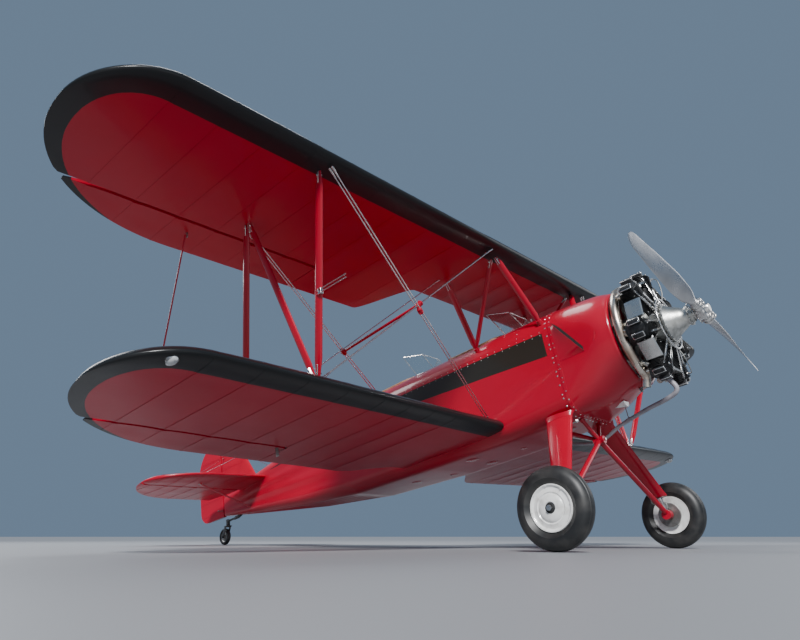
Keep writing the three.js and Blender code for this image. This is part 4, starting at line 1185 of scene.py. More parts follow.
BAFFLE_Y = -1.345
BAFFLE_FOOT = 0.212
BAFFLE_HEAD = 0.425
BAFFLE_ROWS = 8
HEAD_START = 0.343
FLANGE_PLACES = [
    # y, height above the plate's edge
    (-1.392, -0.01), (-1.384, 0.0), (-1.32, 0.003), (-1.262, 0.0), (-1.254, -0.01),
]
baffle_sheet = metal("baffle_sheet", (0.8, 0.8, 0.78), (0.62, 0.62, 0.6), 0.18, 0.32, 9, 0.05)
half_turn = math.pi / CYLINDERS
rows = []
for radius in np.linspace(BAFFLE_FOOT, BAFFLE_HEAD, BAFFLE_ROWS):
    clear = 0.076 if radius < HEAD_START else 0.088
    half = max(0.012, radius * math.sin(half_turn) - clear / math.cos(half_turn))
    rows.append([(half * share, BAFFLE_Y - 0.016 * (1 - abs(share)) + (0.02 if abs(share) == 1.0 else 0.0),
                  radius * math.cos(half_turn)) for share in (-1.0, -0.86, 0.0, 0.86, 1.0)])
for y, lift in FLANGE_PLACES:
    z = BAFFLE_HEAD * math.cos(half_turn) + 0.003 + lift
    rows.append([(half * share, y, z - (0.012 if abs(share) == 1.0 else 0.0))
                 for share in (-1.0, -0.9, 0.0, 0.9, 1.0)])
points, faces = grid(rows)
faces = [face for face in faces if face[0] // len(rows[0]) != BAFFLE_ROWS - 1]
baffle = modified(mesh_of(points, faces), "SOLIDIFY", thickness=0.0015, offset=0.0)
for number, angle in enumerate(turns(CYLINDERS, 0.5), 1):
    settle(placed(baffle.copy(), shift(z=THRUST_Z) @ spin(angle, "Y")), f"baffle_{number}", baffle_sheet,
           angle=20)


# Exhaust ring
# A welded steel ring behind the cylinders gathers the exhaust through a stub from each head, and empties
# low on the right. Heat has left it straw and bronze.

EXHAUST_RADIUS = 0.395
EXHAUST_Y = -1.18
EXHAUST_TUBE = 0.036
EXHAUST_SPAN = (-160, 158)
EXHAUST_STEPS = 90
OUTLET_WAY = Vector((0.006, 0.03, -0.09))
CLAMP_TURNS = (-148, -118, -88, -36, 12, 64, 116)
exhaust_metal = metal("exhaust_metal", (0.74, 0.68, 0.6), (0.4, 0.3, 0.22), 0.2, 0.4, 7, 0.12)


def on_exhaust(turn, y=EXHAUST_Y):
    return around_thrust(EXHAUST_RADIUS, y, turn)


def exhaust_size(share):
    """The tube's radius: it narrows toward the end that is far from the outlet."""
    return EXHAUST_TUBE * (0.72 + 0.28 * smooth_step(1 - share, 0.0, 0.75))


arc_path = [on_exhaust(turn) for turn in np.radians(np.linspace(*EXHAUST_SPAN, EXHAUST_STEPS))]
arc_sizes = [exhaust_size(step / (EXHAUST_STEPS - 1)) for step in range(EXHAUST_STEPS)]
exhaust_parts = [tube(arc_path, arc_sizes, 20)]
outlet_ends = [arc_path[0] + OUTLET_WAY * share for share in (0.25, 0.6, 1)]
outlet_path = bend([arc_path[3], arc_path[1], *outlet_ends], 6)
outlet = tube(outlet_path, EXHAUST_TUBE + 0.003, 24, caps=False)
exhaust_parts.append(modified(outlet, "SOLIDIFY", thickness=0.003, offset=-1.0))
for angle in turns(CYLINDERS):
    port = on_exhaust(angle, CYLINDER_Y + 0.06)
    exhaust_parts.append(tube([port, on_exhaust(angle)], 0.0235, 18))
    exhaust_parts.append(tube([port + Vector((0, 0.02, 0)), port + Vector((0, 0.04, 0))], 0.0285, 18))
for turn in CLAMP_TURNS:
    size = exhaust_size((turn - EXHAUST_SPAN[0]) / (EXHAUST_SPAN[1] - EXHAUST_SPAN[0])) + 0.0025
    band = [on_exhaust(math.radians(turn) + offset) for offset in (-0.035, 0.0, 0.035)]
    exhaust_parts.append(tube(band, size, 20))
settle(joined(exhaust_parts), "exhaust_ring", exhaust_metal, "exhaust_collector")
settle(tube(outlet_path[-10:-8], EXHAUST_TUBE - 0.001, 20), "exhaust_soot", soot_and_shade_black)


# Propeller
# Two forged alloy blades, twisted and polished, sit in a split steel hub that two clamp rings close round
# their shanks. A nut in front holds the hub on the tapered shaft.

PROPELLER_REST = math.radians(14)
BLADE = np.array([
    # radius, width, thickness, pitch in degrees
    [0.04, 0.06, 0.056, 62],
    [0.17, 0.062, 0.054, 60],
    [0.26, 0.12, 0.034, 50],
    [0.48, 0.16, 0.022, 36],
    [0.8, 0.15, 0.014, 25],
    [1.06, 0.118, 0.009, 19],
    [1.16, 0.07, 0.006, 17],
    [1.178, 0.026, 0.004, 17],
])
BLADE_ROUND = 1.06
BLADE_END = 1.178
HUB_SHELL = [
    # radius, along the shaft
    (0.0, 0.0595), (0.048, 0.0595), (0.05, 0.045), (0.066, 0.036), (0.07, 0.024), (0.07, -0.024),
    (0.062, -0.034), (0.044, -0.04), (0.04, -0.06), (0.034, -0.069), (0.0, -0.0695),
]
HUB_CLAMPS = ((0.078, 0.1), (0.124, 0.147))
polished_alloy = metal("polished_alloy", (0.62, 0.62, 0.63), (0.42, 0.42, 0.43), 0.22, 0.36, 4, 0.008)
to_shaft = shift(0, HUB_Y, THRUST_Z) @ spin(PROPELLER_REST, "Y")
blade_rings = []
blade_places = [*np.linspace(BLADE[0, 0], BLADE_ROUND, 44), *np.linspace(BLADE_ROUND, BLADE_END, 18)]
for radius in np.unique(blade_places):
    width, thickness, pitch = (float(np.interp(radius, BLADE[:, 0], column)) for column in BLADE.T[1:])
    if radius > BLADE_ROUND:
        width = 0.118 * math.sqrt(max(0.02, 1 - ((radius - BLADE_ROUND) / 0.12) ** 2))
    flat = smooth_step(radius, 0.17, 0.3)
    turn = math.radians(pitch)
    ring = []
    for angle in turns(24):
        wide = width / 2 * math.cos(angle)
        thick = thickness / 2 * math.sin(angle) * (1 - 0.35 * flat * max(0.0, -math.cos(angle)))
        if math.sin(angle) > 0:
            thick *= 1 - 0.5 * flat
        ring.append((radius, wide * math.sin(turn) + thick * math.cos(turn),
                     wide * math.cos(turn) - thick * math.sin(turn)))
    blade_rings.append(ring)
blade = skin(blade_rings)
blades = joined([blade, placed(blade.copy(), spin(math.pi, "Y"))])
settle(placed(blades, to_shaft), "propeller_blades", polished_alloy, "propeller",
       "propeller", 50)
hub_parts = [turned(HUB_SHELL, 40)]
for side in (-1, 1):
    hub_parts.append(tube([(side * 0.045, 0, 0), (side * 0.15, 0, 0)], 0.0415, 32))
    for low, high in HUB_CLAMPS:
        hub_parts.append(tube([(side * low, 0, 0), (side * high, 0, 0)], 0.0465, 32))
        for end in (-1, 1):
            middle = side * (low + high) / 2
            hub_parts.append(rounded_box((0.018, 0.026, 0.022), 0.004, (middle, end * 0.05, 0)))
            hub_parts.append(bar((middle, end * 0.052, 0), (0, 0, 0.02), 0.006, 6))
settle(placed(joined(hub_parts), to_shaft), "propeller_hub", bright_steel,
       body="propeller", angle=30)


# Interplane and cabane struts
# Streamlined steel tube, N-shaped on each side between the wings and over the fuselage, painted red. The
# ends narrow into forked fittings that bolt to lugs on the spars and on the upper longerons.

FOOT_X = 2.41
HEAD_X = 2.71
FRONT_SPAR = 0.13
REAR_SPAR = 0.9
SPAR_DEPTH = 0.055
CABANE_FOOT = (0.405, 0.812)
CABANE_FEET_Y = (-0.54, 0.12)
CABANE_HEAD_SPARS = (0.13, 0.66)
STRUT_TOP = WING_GAP + 0.004
HEAD_Z = WING_GAP + SPAR_DEPTH
strut_red = red_dope("strut_red", weave=0.0, coat=0.4)


def streamlined(start, end, depth, width, end_depth=None, end_width=None, narrow=0.0, steps=16):
    """A teardrop bar between two points, long in the direction of flight; its ends may narrow."""
    a, b = Vector(start), Vector(end)
    end_depth, end_width = end_depth or depth, end_width or width
    rings = []
    for step in range(steps + 1):
        share = step / steps
        if narrow:
            share = 0.5 - 0.5 * math.cos(math.pi * share)
        middle = a.lerp(b, share)
        size = 1 - narrow * (1 - smooth_step(min(share, 1 - share), 0.0, 0.09))
        long = (depth + (end_depth - depth) * share) * size / 2
        wide = (width + (end_width - width) * share) * size / 2
        rings.append([(middle.x + wide * math.sin(angle) * (1 - 0.3 * max(0.0, math.cos(angle)) ** 1.5),
                       middle.y + long * math.cos(angle), middle.z) for angle in turns(28)])
    return skin(rings)


def height_on(wing, x, y, over=True):
    """The height of a wing's top or underside at one place."""
    leading, trailing, depth, base = wing_at(wing, x)
    along = min(1.0, max(0.0, (y - leading) / (trailing - leading)))
    return base + depth * float(np.interp(along, SECTION[:, 0], SECTION[:, 1 if over else 2]))


def end_fitting(place, direction, length=0.075, plate=0.03):
    """A forked lug with its bolt, where a strut meets a spar or longeron."""
    parts = [rounded_box((0.0045, plate, length), 0.0018, (side * 0.01, 0, length / 2)) for side in (-1, 1)]
    parts.append(bar((0, 0, length * 0.28), (0.02, 0, 0), 0.006, 6))
    turn = direction.to_track_quat("Z", "Y").to_matrix().to_4x4()
    return placed(joined(parts), shift(*place) @ turn)


def strut_foot(spar):
    return Vector((FOOT_X, spar, SPAR_DEPTH + FOOT_X * DIHEDRAL))


def strut_head(spar):
    return Vector((HEAD_X, spar - STAGGER, HEAD_Z))


def at_height(foot, head, z):
    return foot + (head - foot) * ((z - foot.z) / (head.z - foot.z))


struts, strut_ends = [], []
for foot_spar, head_spar, depth, width in ((FRONT_SPAR, FRONT_SPAR, 0.07, 0.028),
                                           (REAR_SPAR, REAR_SPAR, 0.07, 0.028),
                                           (FRONT_SPAR, REAR_SPAR, 0.06, 0.024)):
    foot, head = strut_foot(foot_spar), strut_head(head_spar)
    low = at_height(foot, head, height_on(LOWER_WING, foot.x, foot.y) - 0.012)
    high = at_height(foot, head, STRUT_TOP)
    struts.append(streamlined(low, high, depth, width, narrow=0.45))
    strut_ends.extend((end_fitting(low, high - low, 0.085), end_fitting(high, low - high)))
cabanes, cabane_ends = [], []
cabane_feet = [Vector((CABANE_FOOT[0], y, CABANE_FOOT[1])) for y in CABANE_FEET_Y]
cabane_heads = [Vector((CENTRE_HALF - 0.06, spar - STAGGER, HEAD_Z)) for spar in CABANE_HEAD_SPARS]
for foot, head, depth, width in ((cabane_feet[0], cabane_heads[0], 0.06, 0.026),
                                 (cabane_feet[1], cabane_heads[1], 0.06, 0.026),
                                 (cabane_feet[1], cabane_heads[0], 0.05, 0.022)):
    high = at_height(foot, head, STRUT_TOP)
    cabanes.append(streamlined(foot, high, depth, width, narrow=0.4))
    cabane_ends.append(end_fitting(high, foot - high, 0.07))
for foot in cabane_feet:
    cabanes.append(tube([foot + Vector((0.004, 0, 0.004)), foot - Vector((0.06, 0, 0.06))], 0.024, 20))
settle_pair(joined(struts), "interplane_strut_set_*", strut_red, "interplane_strut_*")
settle_pair(joined(strut_ends), "interplane_fittings_set_*", bright_steel)
settle_pair(joined(cabanes), "cabane_strut_set_*", strut_red, "cabane_strut_*")
settle_pair(joined(cabane_ends), "cabane_fittings_set_*", bright_steel)


# Flying and landing wires
# Stainless streamline wires in pairs brace each wing cell, with a threaded terminal and a fork at every
# end. A javelin of hard wood clamps them together where they cross.

WIRE_RADIUS = 0.0042
WIRE_TOP = WING_GAP + 0.006
BODY_SIDE = 0.424
CROSSING_X = 1.56
PAIR = Vector((0, 0.024, 0))
TERMINAL = [
    # how far along the wire, radius
    (0.0, 0.0085), (0.03825, 0.0085), (0.0425, 0.0065), (0.085, 0.0055),
]
stainless = metal("stainless", (0.74, 0.73, 0.72), (0.55, 0.54, 0.53), 0.18, 0.3, 20, 0.01)

# A drawn wire along each path.
wire_tree, given = node_tree("drawn_wires", Radius=0.004)
curve = add(wire_tree, "GeometryNodeMeshToCurve", {"Mesh": given["Geometry"]})
section = add(wire_tree, "GeometryNodeCurvePrimitiveCircle", {"Resolution": 12, "Radius": given["Radius"]})
swept(wire_tree, given, curve.outputs["Curve"], section.outputs["Curve"])


def on_wing(x, y):
    """Where a wire meets the lower wing."""
    return Vector((x, y, height_on(LOWER_WING, x, y) - 0.006))


def on_wire(wire, x):
    return wire[0].lerp(wire[1], (x - wire[0].x) / (wire[1].x - wire[0].x))


def settle_wires(paths, radius, terminal, names, replaced="", others=()):
    """Wires along their paths, with a terminal on both ends of each."""
    wires = grow(path_mesh(paths), wire_tree, Radius=radius, Finish=stainless)
    settle_pair(wires, names[0], stainless, replaced)
    ends = []
    for start, end in paths:
        for here, there in ((start, end), (end, start)):
            way = (there - here).normalized()
            path = [here + way * reach for reach, _ in terminal]
            ends.append(tube(path, [size for _, size in terminal], 12))
    settle_pair(joined([*ends, *others]), names[1], bright_steel)


fly_front, fly_rear = (
    (Vector((BODY_SIDE, spar, foot_z)), Vector((HEAD_X - 0.04, spar - STAGGER + offset, WIRE_TOP)))
    for spar, foot_z, offset in ((FRONT_SPAR, 0.116, -0.06), (REAR_SPAR, 0.096, 0.06)))
landing = (on_wing(FOOT_X - 0.04, FRONT_SPAR + 0.01),
           Vector((CENTRE_HALF + 0.06, FRONT_SPAR - STAGGER - 0.06, WIRE_TOP)))
landing_rear = (on_wing(FOOT_X - 0.04, REAR_SPAR - 0.03), Vector((CENTRE_HALF + 0.03, 0.11, WIRE_TOP)))
doubled = (fly_front, fly_rear, landing)
wire_paths = [(wire[0] + PAIR * side, wire[1] + PAIR * side) for wire in doubled for side in (-0.5, 0.5)]
settle_wires([*wire_paths, landing_rear], WIRE_RADIUS, TERMINAL, ("flying_wires_*", "wire_terminals_*"),
             "bracing_wires_*")
javelins = []
for first, second in ((fly_front, landing), (landing, fly_rear)):
    a, b = on_wire(first, CROSSING_X), on_wire(second, CROSSING_X)
    reach = (b - a).normalized() * 0.03
    path = [a - reach, *(a.lerp(b, share) for share in np.linspace(0, 1, 9)), b + reach]
    javelins.append(tube(path, [0.005] + [0.011] * 9 + [0.005], 14))
for wire in doubled:
    way = (wire[1] - wire[0]).normalized() * 0.034
    path = [on_wire(wire, CROSSING_X) + way * share for share in (-1, -0.6, 0.6, 1)]
    javelins.append(tube(path, [0.008, 0.021, 0.021, 0.008], 14))
settle_pair(joined(javelins), "javelins_*", strut_red)


# Aileron hinges, horns and connecting struts
# Steel brackets hold each aileron behind the false spar. A slim strut pinned between lugs makes the two
# ailerons of a side move together, and a horn below the lower one takes the control rod.

HINGE_HEIGHT = 0.045
HINGE_SHARES = (0.08, 0.45, 0.82)
LINK_X = 3.0
LINK_Y = AILERON_HINGE + 0.09
LINK_FOOT = Vector((LINK_X, LINK_Y, height_on(LOWER_WING, LINK_X, LINK_Y) + 0.026))
LINK_HEAD = Vector((LINK_X, LINK_Y - STAGGER + 0.054, WING_GAP - 0.026))
LINK_HALF = 0.005
LINK_EYE = 0.009
LUG_HALF = 0.005
PIN_BORE = 0.0054
HORN_X = AILERON_INBOARD + 0.075


def hinge(place, length, upright=False):
    """The eye and the arm of one hinge, which the moving surface carries."""
    arm = (0.009, length, 0.012) if upright else (0.012, length, 0.009)
    eye = bar(place, (0, 0, 0.007) if upright else (0.007, 0, 0), 0.0056)
    return [eye, rounded_box(arm, 0.002, Vector(place) + Vector((0, length / 2 + 0.001, 0)))]


def bored(mesh):
    """A part of the link with the lower pin's hole across it."""
    return cut_by(mesh, bar(LINK_FOOT, (0.03, 0, 0), PIN_BORE, 20))


def lug(pin, root_z, gap):
    """A plate lug beside one end of the connecting strut."""
    middle = Vector((pin.x - LINK_HALF - gap - LUG_HALF, pin.y, pin.z))
    low, high = sorted((root_z, pin.z))
    return [bar(middle, (LUG_HALF, 0, 0), LINK_EYE, 20),
            rounded_box((0.0096, 0.0176, high - low), 0.0015, (middle.x, pin.y, (low + high) / 2))]


eyes = [bar(pin, (LINK_HALF, 0, 0), LINK_EYE, 20) for pin in (LINK_FOOT, LINK_HEAD)]
link = bored(streamlined(LINK_FOOT, LINK_HEAD, 0.018, 2 * LINK_HALF))
settle_pair(joined([link, bored(eyes[0]), eyes[1]]), "aileron_strut_*", strut_red,
            "aileron_link_*", "aileron_link_*")
lugs = {
    "upper": lug(LINK_HEAD, WING_GAP + 0.015, 0.004),
    "lower": [*lug(LINK_FOOT, LINK_FOOT.z - 0.041, 0.0003),
              bar(LINK_FOOT - Vector((0.003, 0, 0)), (0.0113, 0, 0), 0.005)],
}
for level, wing in WINGS.items():
    hinge_y = wing["nose"] + AILERON_HINGE
    parts, brackets = list(lugs[level]), []
    for share in HINGE_SHARES:
        x = AILERON_INBOARD + (wing["tip"] - TIP_NOSE_RUN - AILERON_INBOARD) * share
        z = wing["base"] + HINGE_HEIGHT + x * wing["rise"]
        parts.extend(hinge((x, hinge_y, z), 0.03))
        brackets.extend(rounded_box((0.003, 0.01, 0.026), 0.001, (x + side, hinge_y - 0.003, z))
                        for side in (-0.013, 0.013))
    if level == "lower":
        horn_z = wing["base"] + HORN_X * wing["rise"]
        parts.append(rounded_box((0.006, 0.034, 0.075), 0.0025, (HORN_X, hinge_y + 0.04, horn_z - 0.028)))
        parts.append(bar((HORN_X, hinge_y + 0.034, horn_z - 0.055), (0.012, 0, 0), 0.005, 12))
    settle_pair(joined(parts), f"{level}_aileron_metal_*", dull_alloy,
                body=f"{level}_aileron_*")
    settle_pair(joined(brackets), f"{level}_hinge_brackets_*", dull_alloy)


# Main gear
# Each wheel hangs on a shock strut that slides inside a broad sheet-metal fairing. Half axles run down to
# the wheels from a pyramid of steel tubes under the belly, and steel pipes lead to the brakes.

WHEEL = Vector((1.06, -0.62, -0.8))
LEG_TOP = Vector((0.33, -0.47, 0.02))
LEG_END = Vector((0.87, -0.612, -0.65))
AXLE_ELBOW = Vector((0.93, WHEEL.y, WHEEL.z))
GEAR_APEX = Vector((0.0, -0.6, -0.215))
LEG_DEPTH = (0.25, 0.15)
LEG_WIDTH = (0.076, 0.066)
TRUSS_ENDS = ((0.21, -0.55, 0.03), (-0.21, -0.55, 0.03), (0.0, -0.18, 0.03))
BRAKE_DRUM = [
    # radius, along
    (0.028, -0.008), (0.098, -0.008), (0.102, -0.004), (0.102, 0.004), (0.028, 0.004), (0.028, -0.008),
]


def belly_height(x, y):
    """The underside's height at one place."""
    half = [(px, pz) for px, _, pz in outside_half(y) if pz < body_row(y)[3]][::-1]
    return float(np.interp(abs(x), [px for px, _ in half], [pz for _, pz in half]))


def into_belly(point, way, lift):
    """Moves a point along a way until it lies just inside the fuselage's underside."""
    while point.z >= belly_height(point.x, point.y) + lift:
        point = point + way * 0.002
    return point


leg_way = (LEG_END - LEG_TOP).normalized()
leg_start = into_belly(LEG_TOP, leg_way, 0.012)
cut = (leg_start - LEG_TOP).length / (LEG_END - LEG_TOP).length
leg_parts = [
    streamlined(leg_start, LEG_END, LEG_DEPTH[0] + (LEG_DEPTH[1] - LEG_DEPTH[0]) * cut,
                LEG_WIDTH[0] + (LEG_WIDTH[1] - LEG_WIDTH[0]) * cut, LEG_DEPTH[1], LEG_WIDTH[1], steps=24),
    # the cuff round its lower end, and the root fairing
    streamlined(LEG_TOP.lerp(LEG_END, 0.955), LEG_END - leg_way * 0.002, 0.158, 0.071, 0.154, 0.0685,
                steps=3),
    streamlined(leg_start, leg_start + leg_way * 0.05, 0.29, 0.125, 0.24, 0.078, steps=10),
]
shock_way = (AXLE_ELBOW - LEG_END).normalized()
shock_parts = [
    # the piston, its gland and its foot
    tube([LEG_END, AXLE_ELBOW - shock_way * 0.03], 0.0165, 24),
    tube([LEG_END, LEG_END + shock_way * 0.028], 0.0225, 24),
    tube([AXLE_ELBOW - shock_way * 0.085, AXLE_ELBOW - shock_way * 0.038], 0.0215, 24),
]
for step in range(4):
    fold = LEG_END + shock_way * (0.034 + 0.009 * step)
    shock_parts.append(tube([fold, fold + shock_way * 0.005], 0.0205, 24))
brake_parts = [
    turned(BRAKE_DRUM, 48, "x", (0.978, WHEEL.y, WHEEL.z)),
    rounded_box((0.03, 0.042, 0.06), 0.006, (0.968, WHEEL.y + 0.01, WHEEL.z + 0.082)),
]
axle_parts = [
    # the half axle, and the sleeve and collar at its elbow
    tube([GEAR_APEX + (AXLE_ELBOW - GEAR_APEX).normalized() * 0.034, AXLE_ELBOW], 0.022, 24),
    bar(AXLE_ELBOW - Vector((0.003, 0, 0)), (0.033, 0, 0), 0.04, 28),
    bar(AXLE_ELBOW - Vector((0.037, 0, 0)), (0.003, 0, 0), 0.0415, 28),
]
stub_parts = [bar((1.048, WHEEL.y, WHEEL.z), (0.098, 0, 0), 0.0196, 24),
              bar((1.143, WHEEL.y, WHEEL.z), (0.007, 0, 0), 0.0196, 6)]
brake_path = bend([LEG_END + Vector((-0.028, 0.05, 0.08)), LEG_END + Vector((-0.01, 0.075, -0.02)),
                   (0.925, WHEEL.y + 0.078, WHEEL.z + 0.105), (0.952, WHEEL.y + 0.04, WHEEL.z + 0.096)])
settle_pair(joined(leg_parts), "gear_leg_fairing_*", strut_red, "gear_leg_*")
settle_pair(joined(shock_parts), "shock_strut_*", bright_steel, "gear_shock_*")
settle_pair(joined(brake_parts), "brake_*", dull_alloy)
settle_pair(joined(axle_parts), "half_axle_*", strut_red, "axle_*")
settle_pair(joined(stub_parts), "stub_axle_*", bright_steel)
settle_pair(tube(brake_path, 0.0055, 10), "brake_pipe_*", dull_alloy)

truss_parts = [bar(GEAR_APEX, (0, 0.045, 0), 0.034, 28)]
for end in TRUSS_ENDS:
    way = (GEAR_APEX - Vector(end)).normalized()
    foot = into_belly(Vector(end), way, 0.006)
    truss_parts.extend((tube([foot, GEAR_APEX], 0.017, 22), tube([foot, foot + way * 0.03], 0.022, 22)))
settle(joined(truss_parts), "gear_pyramid", strut_red, "gear_truss")
settle(bar(GEAR_APEX, (0, 0.058, 0), 0.011, 6), "gear_pyramid_bolt", bright_steel)


# Wheels
# Plain-tread black tyres on spun aluminium discs, painted gloss white, with a stamped ring that stiffens
# each disc and a dark cap over the bearing. The tread has worn smooth and carries a little dust.

TYRE_RADIUS = 0.285
TYRE_HALF = 0.08
RIM_RADIUS = 0.16
CROWN_STEPS = 64
GROOVES = (-0.03, 0.03)
DISC_PROFILE = [
    # radius, along
    (0.0203, -0.062), (0.052, -0.062), (0.058, -0.048), (0.066, -0.036), (0.09, -0.04), (0.14, -0.05),
    (0.16, -0.056), (0.16, 0.056), (0.1575, 0.061), (0.151, 0.0605), (0.144, 0.0535), (0.136, 0.049),
    (0.124, 0.05), (0.112, 0.0545), (0.106, 0.056), (0.101, 0.052), (0.095, 0.052), (0.09, 0.0575),
    (0.078, 0.0625), (0.06, 0.067), (0.042, 0.069), (0.04, 0.0655), (0.03, 0.0655), (0.0285, 0.072),
    (0.0203, 0.0735), (0.0203, -0.062),
]
CAP_PROFILE = [(0.0206, 0.066), (0.0375, 0.066), (0.0355, 0.0705), (0.026, 0.075), (0.0206, 0.0752),
               (0.0206, 0.066)]
RIM_STUDS = (0.0612, 0.1475)

tyre_rubber, tree, shader = new_material("tyre_rubber")
relief(tree, shader, noise(tree, 420), 0.25, 0.0008)
dust = two_tones(tree, noise(tree, 9, 8), 0.4, (0.012, 0.013, 0.014, 1), 0.78, (0.052, 0.05, 0.047, 1))
feed(tree, shader, {"Base Color": dust, "Roughness": 0.46})
wheel_white, tree, shader = new_material("wheel_white")
scuffs = two_tones(tree, noise(tree, 16, 7), 0.3, (0.62, 0.61, 0.58, 1), 0.52, (0.86, 0.86, 0.84, 1))
feed(tree, shader, {"Base Color": scuffs, "Roughness": 0.22, "Coat Weight": 0.4})

bead = [(RIM_RADIUS + 0.0003, side * 0.62 * TYRE_HALF) for side in (-1, 1)]
bulge = TYRE_RADIUS - RIM_RADIUS
tyre_profile = list(bead)
for step in range(CROWN_STEPS + 1):
    angle = math.pi * step / CROWN_STEPS
    along = TYRE_HALF * math.cos(angle)
    radius = RIM_RADIUS + 0.3 * bulge + 0.7 * bulge * math.sin(angle) ** 0.8
    if min(abs(along - groove) for groove in GROOVES) < 0.0026:
        radius -= 0.003
    if abs(radius - (RIM_RADIUS + 0.42 * bulge)) < 0.004:
        radius += 0.0015
    tyre_profile.append((radius, along))
rim_studs = [(Vector((RIM_STUDS[0], RIM_STUDS[1] * math.cos(angle), RIM_STUDS[1] * math.sin(angle))), left)
             for angle in turns(8)]
disc = joined([turned(DISC_PROFILE, 96, "x"), heads(rim_studs, 0.0035, 0.003, wheel_white)])
for mesh, name, material, slot, replaced in (
        (turned([*tyre_profile, bead[0]], 96, "x"), "tyre_plain_*", tyre_rubber, "tyre", "tyre_*"),
        (disc, "wheel_disc_*", wheel_white, "white_disc", "wheel_hub_*"),
        (turned(CAP_PROFILE, 40, "x"), "wheel_cap_*", rubber_black, "tyre", "")):
    settle_pair(placed(mesh, shift(*WHEEL)), name, material, replaced, "wheel_*", angle=28)


# Tail surfaces
# Welded steel tube outlines with ribs, covered in the same doped cloth: a stabiliser with two elevators on
# one torque tube, and a fin with a rudder. The fin and rudder are drawn lying down and then stood up.

TAIL_PLANE = 0.56
ELEVATOR_HINGE = 3.96
RUDDER_HINGE = 4.44
LEVEL_TAIL = {"root": 0.02, "tip": 1.42, "nose": 3.4, "slope": 0.09, "tail": 4.56, "nose_run": 0.62,
              "tail_run": 0.7, "split": 0.45, "thickness": 0.056}
UPRIGHT_TAIL = {"root": 0.3, "tip": 1.36, "nose": 3.56, "slope": 0.62, "tail": 4.95, "nose_run": 0.26,
                "tail_run": 0.42, "split": 0.62, "thickness": 0.052}
TAIL_SECTION = np.array([
    # along, half thickness as a share
    [0, 0.25],
    [0.06, 0.75],
    [0.3, 1],
    [0.7, 0.75],
    [1, 0.18],
])
TAIL_SAG = 0.0022
TAIL_TAPE = (0.03, 0.0014)
TUBE_NOTCH = (0.21, ELEVATOR_HINGE - 0.021, ELEVATOR_HINGE + 0.5)
STAND_UP = Matrix(((0, 0, 1, 0), (0, 1, 0, 0), (1, 0, 0, 0), (0, 0, 0, 1)))
level_ribs = rib_places(0.16, 1.3, 0.19)
upright_ribs = rib_places(0.42, 1.26, 0.17)
TAIL_PIECES = [
    # name, plan, first span, start, end, ribs, foot, body, node
    ("stabiliser", LEVEL_TAIL, 0.085, 0.0, ELEVATOR_HINGE - HINGE_FACE, level_ribs, 0.0, "airframe",
     "stabiliser_*"),
    ("elevator", LEVEL_TAIL, 0.15, ELEVATOR_HINGE + 0.022, 9.0, level_ribs, 0.0, "elevators", "elevators"),
    ("fin", UPRIGHT_TAIL, 0.52, 0.0, RUDDER_HINGE - HINGE_FACE, upright_ribs, 0.0, "airframe", "fin"),
    ("rudder", UPRIGHT_TAIL, 0.33, RUDDER_HINGE + 0.016, 9.0, upright_ribs, 0.15, "rudder", "rudder"),
]
tail_cloth = red_dope("tail_cloth")


def tail_edges(plan, span):
    widest = plan["nose"] + (plan["tail"] - plan["nose"]) * plan["split"]
    inset = max(0.0005, plan["tip"] - span)
    raked = plan["nose"] + plan["slope"] * max(0.0, span - plan["root"])
    nose = widest - (widest - raked) * rounding(inset, plan["nose_run"])
    return nose, widest + (plan["tail"] - widest) * rounding(inset, plan["tail_run"])


def foot_cut(span, first, foot):
    """How much the rounded foot takes off the rear edge at one place of the span."""
    if not foot or span >= first + foot:
        return 0.0
    return foot * (1 - math.sqrt(1 - (1 - (span - first) / foot) ** 2))


def tail_ring(plan, span, start, end, corner, ribs=()):
    """A symmetrical section at one place of the span, drawn level, cut to start and end."""
    nose, tail = tail_edges(plan, span)
    thin = min(plan["thickness"], 0.12 * (tail - nose) + 0.006)
    low, high = max(nose, start), min(tail, end) - corner
    sink = TAIL_SAG * bay_bulge(span, ribs)
    over = []
    for share in 0.5 - 0.5 * np.cos(np.linspace(0, math.pi, 25)):
        y = low + (high - low) * share
        along = (y - nose) / (tail - nose)
        root = math.sqrt(max(0.0, along))
        half = thin / 2 * float(np.interp(root, np.sqrt(TAIL_SECTION[:, 0]), TAIL_SECTION[:, 1]))
        half -= sink * smooth_step(along, 0.1, 0.2) * smooth_step(1 - along, 0.03, 0.12)
        over.append((span, y, half))
    return over[::-1] + [(x, y, -half) for x, y, half in over]


def tail_spans(plan, first, ribs, foot):
    """Places along the span: several between ribs, closer ones round the tip and the foot."""
    last = plan["tip"] - 0.0015
    spans = {first, last}
    for before, after in zip(ribs, ribs[1:]):
        spans.update(before + (after - before) * step / 5 for step in range(5))
    longest = max(plan["nose_run"], plan["tail_run"])
    spans.update(plan["tip"] - longest * (1 - math.cos(math.pi / 2 * step / 26)) for step in range(1, 27))
    if foot:
        spans.update(first + foot * (1 - math.cos(math.pi / 2 * step / 10)) for step in range(11))
    return sorted(span for span in spans if first <= span <= last)


